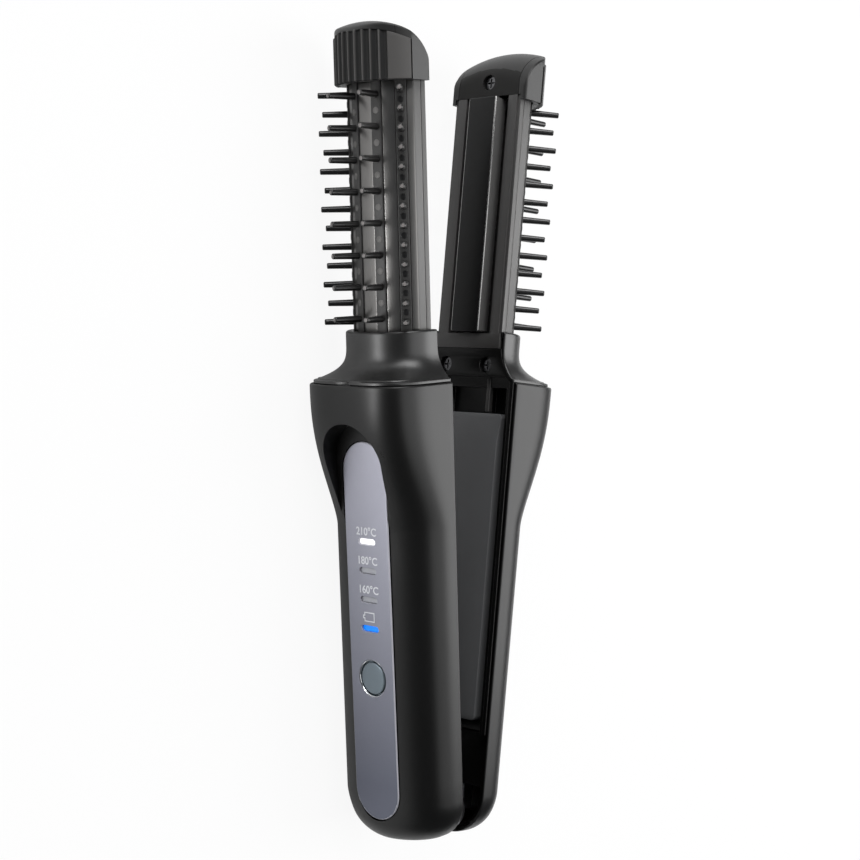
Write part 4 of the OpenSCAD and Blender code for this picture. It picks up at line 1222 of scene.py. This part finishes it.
# Handle insides: liners, each with a bead at either side above its window, and the blocks in the windows
lining = {
    "round": 0.32,
    "blockRound": 0.45,
    "beadDepth": (5, 8.1),
    "beadWidth": (7.3, 8.7),
    "beadHeight": (119.6, 129.4),
    "beadRound": 0.35,
}
for arm, block in (("front", "front_inner_cover"), ("rear", "battery_housing")):
    liner = dressed(arm + "_liner", arm + "Liner", lining["round"])
    for side in (-1, 1):
        across = sorted(side * y for y in lining["beadWidth"])
        bead = slab("bead", lining["beadDepth"], across, lining["beadHeight"])
        rounded(bead, lining["beadRound"], 3)
        tidy(paint(bead, "barrel_frame"))
        bead.data.transform(armPlace[arm])
        join(liner, bead)
    # the rim's bevels are painted a lighter grey, a painted highlight along the liner's edges
    paint(liner, "blasted", lambda face: 0.3 < abs(face.normal.z) < 0.95 and abs(face.normal.y) < 0.3)
    dressed(block, arm + "Block", lining["blockRound"])
print("liners and blocks: done")


# Control panel, its button, windows and marks
def panelFace(y, z):
    # x of the panel's crowned face, dished around the button
    crown = panel["crown"] - math.sqrt(panel["crown"] ** 2 - y ** 2)
    away = math.hypot(y, z - (button["height"] - panel["height"])) / button["dishWidth"]
    return panel["proud"] - crown - button["dishDepth"] * math.exp(-away ** 4)


def rimDistance(y, z):
    # how far a place on the panel lies inside its outline
    half = panel["width"] / 2
    return half - math.hypot(y, max(0, abs(z) - panel["length"] / 2 + half))


def controlPanel():
    half, bevel = panel["width"] / 2, panel["round"]
    straight = panel["length"] / 2 - half
    ends = [half * sine(3 * step) for step in range(1, 31)]
    rows = [-straight - end for end in reversed(ends)] + spread(-straight, straight, 150)
    rows += [straight + end for end in ends]
    shares = [-1, -0.985, -0.97] + spread(-0.95, 0.95, 36) + [0.97, 0.985, 1]

    def place(share, z):
        y = share * math.sqrt(max(0, half ** 2 - max(0, abs(z) - straight) ** 2))
        drop = bevel * (1 - math.sqrt(1 - (1 - clamp(rimDistance(y, z) / bevel)) ** 2))
        return panelFace(y, z) - drop, y, z

    piece = skin("controlPanel", shares, rows, place)
    tidy(piece)
    inwards = 1 if piece.data.polygons[0].normal.x < 0 else -1
    modify(piece, "SOLIDIFY", thickness=panel["thickness"] - panel["under"], offset=inwards)
    combine(piece, "DIFFERENCE", *slots(indicator["panelGap"], *panel["panelCut"]),
            buttonRod("well", button["diameter"] / 2 + button["ring"], *panel["panelCut"]))
    tidy(piece, merge=fineMerge)
    # the rim and the slot walls are painted light grey, a painted highlight along the edges
    paint(paint(piece, "panel"), "panel_edge_highlight", lambda face: (
        rimDistance(face.center.y, face.center.z) < panel["edge"] or abs(face.normal.x) < 0.7))
    return settle(onPanel(piece), "front", "control_panel")


def onButton(name, profile, node):
    # a round piece on the button's axis
    piece = turned(name, profile, 96)
    piece.data.transform(Matrix.Translation((0, 0, button["height"] - panel["height"])))
    return settle(onPanel(piece), "front", node)


def ringPiece():
    inner, outer = button["diameter"] / 2 + 0.15, button["diameter"] / 2 + button["ring"] - 0.03
    return onButton("buttonRing", [
        (outer, -1), (outer, -0.2), (outer - 0.04, -0.08), (outer - 0.12, -0.02), (outer - 0.2, -0.06),
        (inner + 0.06, -0.35), (inner, -0.6), (inner, -1), (outer, -1)], "button_ring")


def buttonPiece():
    radius, proud, flange = button["diameter"] / 2 - button["gap"], -button["sink"], 0.9
    return onButton("powerButton", [
        (0, -2.3), (radius + flange, -2.3), (radius + flange, -1.4), (radius, -1.4), (radius, proud - 0.4),
        (radius - 0.06, proud - 0.2), (radius - 0.2, proud - 0.06), (radius - 0.45, proud),
        (radius * 0.6, proud + 0.04), (radius * 0.3, proud + 0.06), (0, proud + 0.07)], "power_button")


def windowPiece(name, node, index):
    front = -indicator["sink"] - 0.1
    piece = prism(name, slotOutline(indicator["fit"], index), -indicator["depth"], front, "X")
    rounded(piece, indicator["round"], 3, 60)
    tidy(piece, merge=fineMerge)
    return settle(onPanel(piece), "front", node)


marks = {
    "size": 3.05,
    "squeeze": 0.98,
    "rise": 2.75,
    "bold": 0.06,
    "ink": 0.02,
    "batteryWidth": 3.9,
    "batteryHeight": 2.7,
    "batteryRise": 3.3,
    "nubHalf": 0.55,
    "nubLength": 0.5,
    "line": 0.3,
}


def inked(piece, name):
    # lays flat artwork, drawn in (y, z), on the panel's face
    for vertex in piece.data.vertices:
        across, up, out = vertex.co
        vertex.co = (panelFace(across, up) + out + marks["ink"] * 1.5, across, up)
    piece.name = name
    intoPlace(onPanel(piece), "front")
    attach(piece, "front_arm")
    coat(piece, "ink")


def numberMark(name, words, index):
    bpy.ops.object.text_add()
    piece = named(name)
    piece.data.body = words
    piece.data.size = marks["size"]
    piece.data.align_x, piece.data.align_y = "CENTER", "CENTER"
    piece.data.extrude = marks["ink"]
    piece.data.offset = marks["bold"]
    pick(piece)
    bpy.ops.object.convert(target="MESH")
    piece = bpy.context.object
    piece.scale.x = marks["squeeze"]
    piece.location.y = indicatorHeight(index) + marks["rise"]
    bpy.ops.object.transform_apply()
    inked(piece, name)


def batteryMark():
    wide, high = marks["batteryWidth"] / 2, marks["batteryHeight"] / 2
    z = indicatorHeight(0) + marks["batteryRise"]

    def outline(inset):
        # the battery's case with its nub, inset all round
        right, top, nub = wide - inset, high - inset, marks["nubHalf"] - inset
        tip = -right - marks["nubLength"]
        return [(right, z - top), (right, z + top), (-right, z + top), (-right, z + nub),
                (tip, z + nub), (tip, z - nub), (-right, z - nub), (-right, z - top)]

    piece = prism("batteryMark", outline(0), -marks["ink"], marks["ink"])
    combine(piece, "DIFFERENCE", prism("inside", outline(marks["line"]), -1, 1))
    inked(piece, "batteryMark")


controlPanel()
ringPiece()
buttonPiece()
windowPiece("windowBattery", "indicator_battery", 0)
heats = ("160", "180", "210")
for index, heat in enumerate(heats, 1):
    windowPiece("window" + heat, "indicator_" + heat, index)
for index, heat in enumerate(heats, 1):
    numberMark("mark" + heat, heat + "°C", index)
batteryMark()
print("panel: done")


# Floor and studio light
studio = {
    "floorShade": (0.88, 0.88, 0.88),
    "floorLift": 0.92,  # share of plain white that the camera sees
    "mirrorLift": 0.2,  # and the reflections, which keep more of the object's shadow
    "worldShade": (0.9, 0.95, 1.0),
    "worldStrength": 0.1,
    "lamps": (
        # name, place, the way it faces, its size across and along, radiance
        ("keyBox", (0.62, 0, 0.65), (-0.69, 0, -0.72), (0.72, 0.66), 4.3),
        ("fillBox", (-0.03, -0.05, 0.95), (0.03, 0, -1), (0.8, 0.8), 1.6),
        ("topBox", (-0.2, 0.85, 0.48), (0.2, -0.85, -0.48), (0.6, 0.6), 5.5),
        ("lowBox", (-0.24, 0.03, 0.0), (0, 0, 1), (0.2, 0.11), 12),
    ),
}


def addFloor():
    bpy.ops.mesh.primitive_plane_add(size=8, location=(0, 0, -0.0002))
    floor = named("floor")
    look = Look("floorPaper")
    faint = toned(studio["floorShade"], 0.98)
    paper = look.add("BsdfPrincipled", {
        "Base Color": look.blend(look.noise(900, 2), faint, studio["floorShade"]),
        "Roughness": 0.9,
        "Specular IOR Level": 0.1,
    })
    white = look.add("Emission", {"Strength": 1.0})
    mirrored = look.clamped(look.add("LightPath", output="Is Glossy Ray")
                            + look.add("LightPath", output="Is Transmission Ray"))
    direct = look.add("LightPath", output="Is Camera Ray")
    seen = studio["floorLift"] * direct + studio["mirrorLift"] * mirrored
    shown = look.add("MixShader", {0: seen, 1: paper, 2: white})
    look.add("OutputMaterial", {"Surface": shown}, output=None)
    floor.data.materials.append(look.material)


def addLamps():
    for name, place, facing, (across, along), radiance in studio["lamps"]:
        bpy.ops.object.light_add(type="AREA")
        lamp = named(name)
        out = -Vector(facing).normalized()
        side = Vector((0, 1, 0)).cross(out).normalized()
        turn = Matrix((side, out.cross(side), out)).transposed().to_4x4()
        lamp.matrix_world = Matrix.Translation(place) @ turn
        lamp.data.shape = "RECTANGLE"
        lamp.data.size, lamp.data.size_y = across, along
        lamp.data.energy = radiance * math.pi * across * along


def addWorld():
    world = bpy.data.worlds.new("studioWorld")
    bpy.context.scene.world = world
    world.use_nodes = True
    sky = world.node_tree.nodes["Background"]
    sky.inputs["Color"].default_value = (*studio["worldShade"], 1)
    sky.inputs["Strength"].default_value = studio["worldStrength"]
    bpy.context.scene.view_settings.view_transform = "Standard"


addFloor()
addLamps()
addWorld()
print("studio: lit")
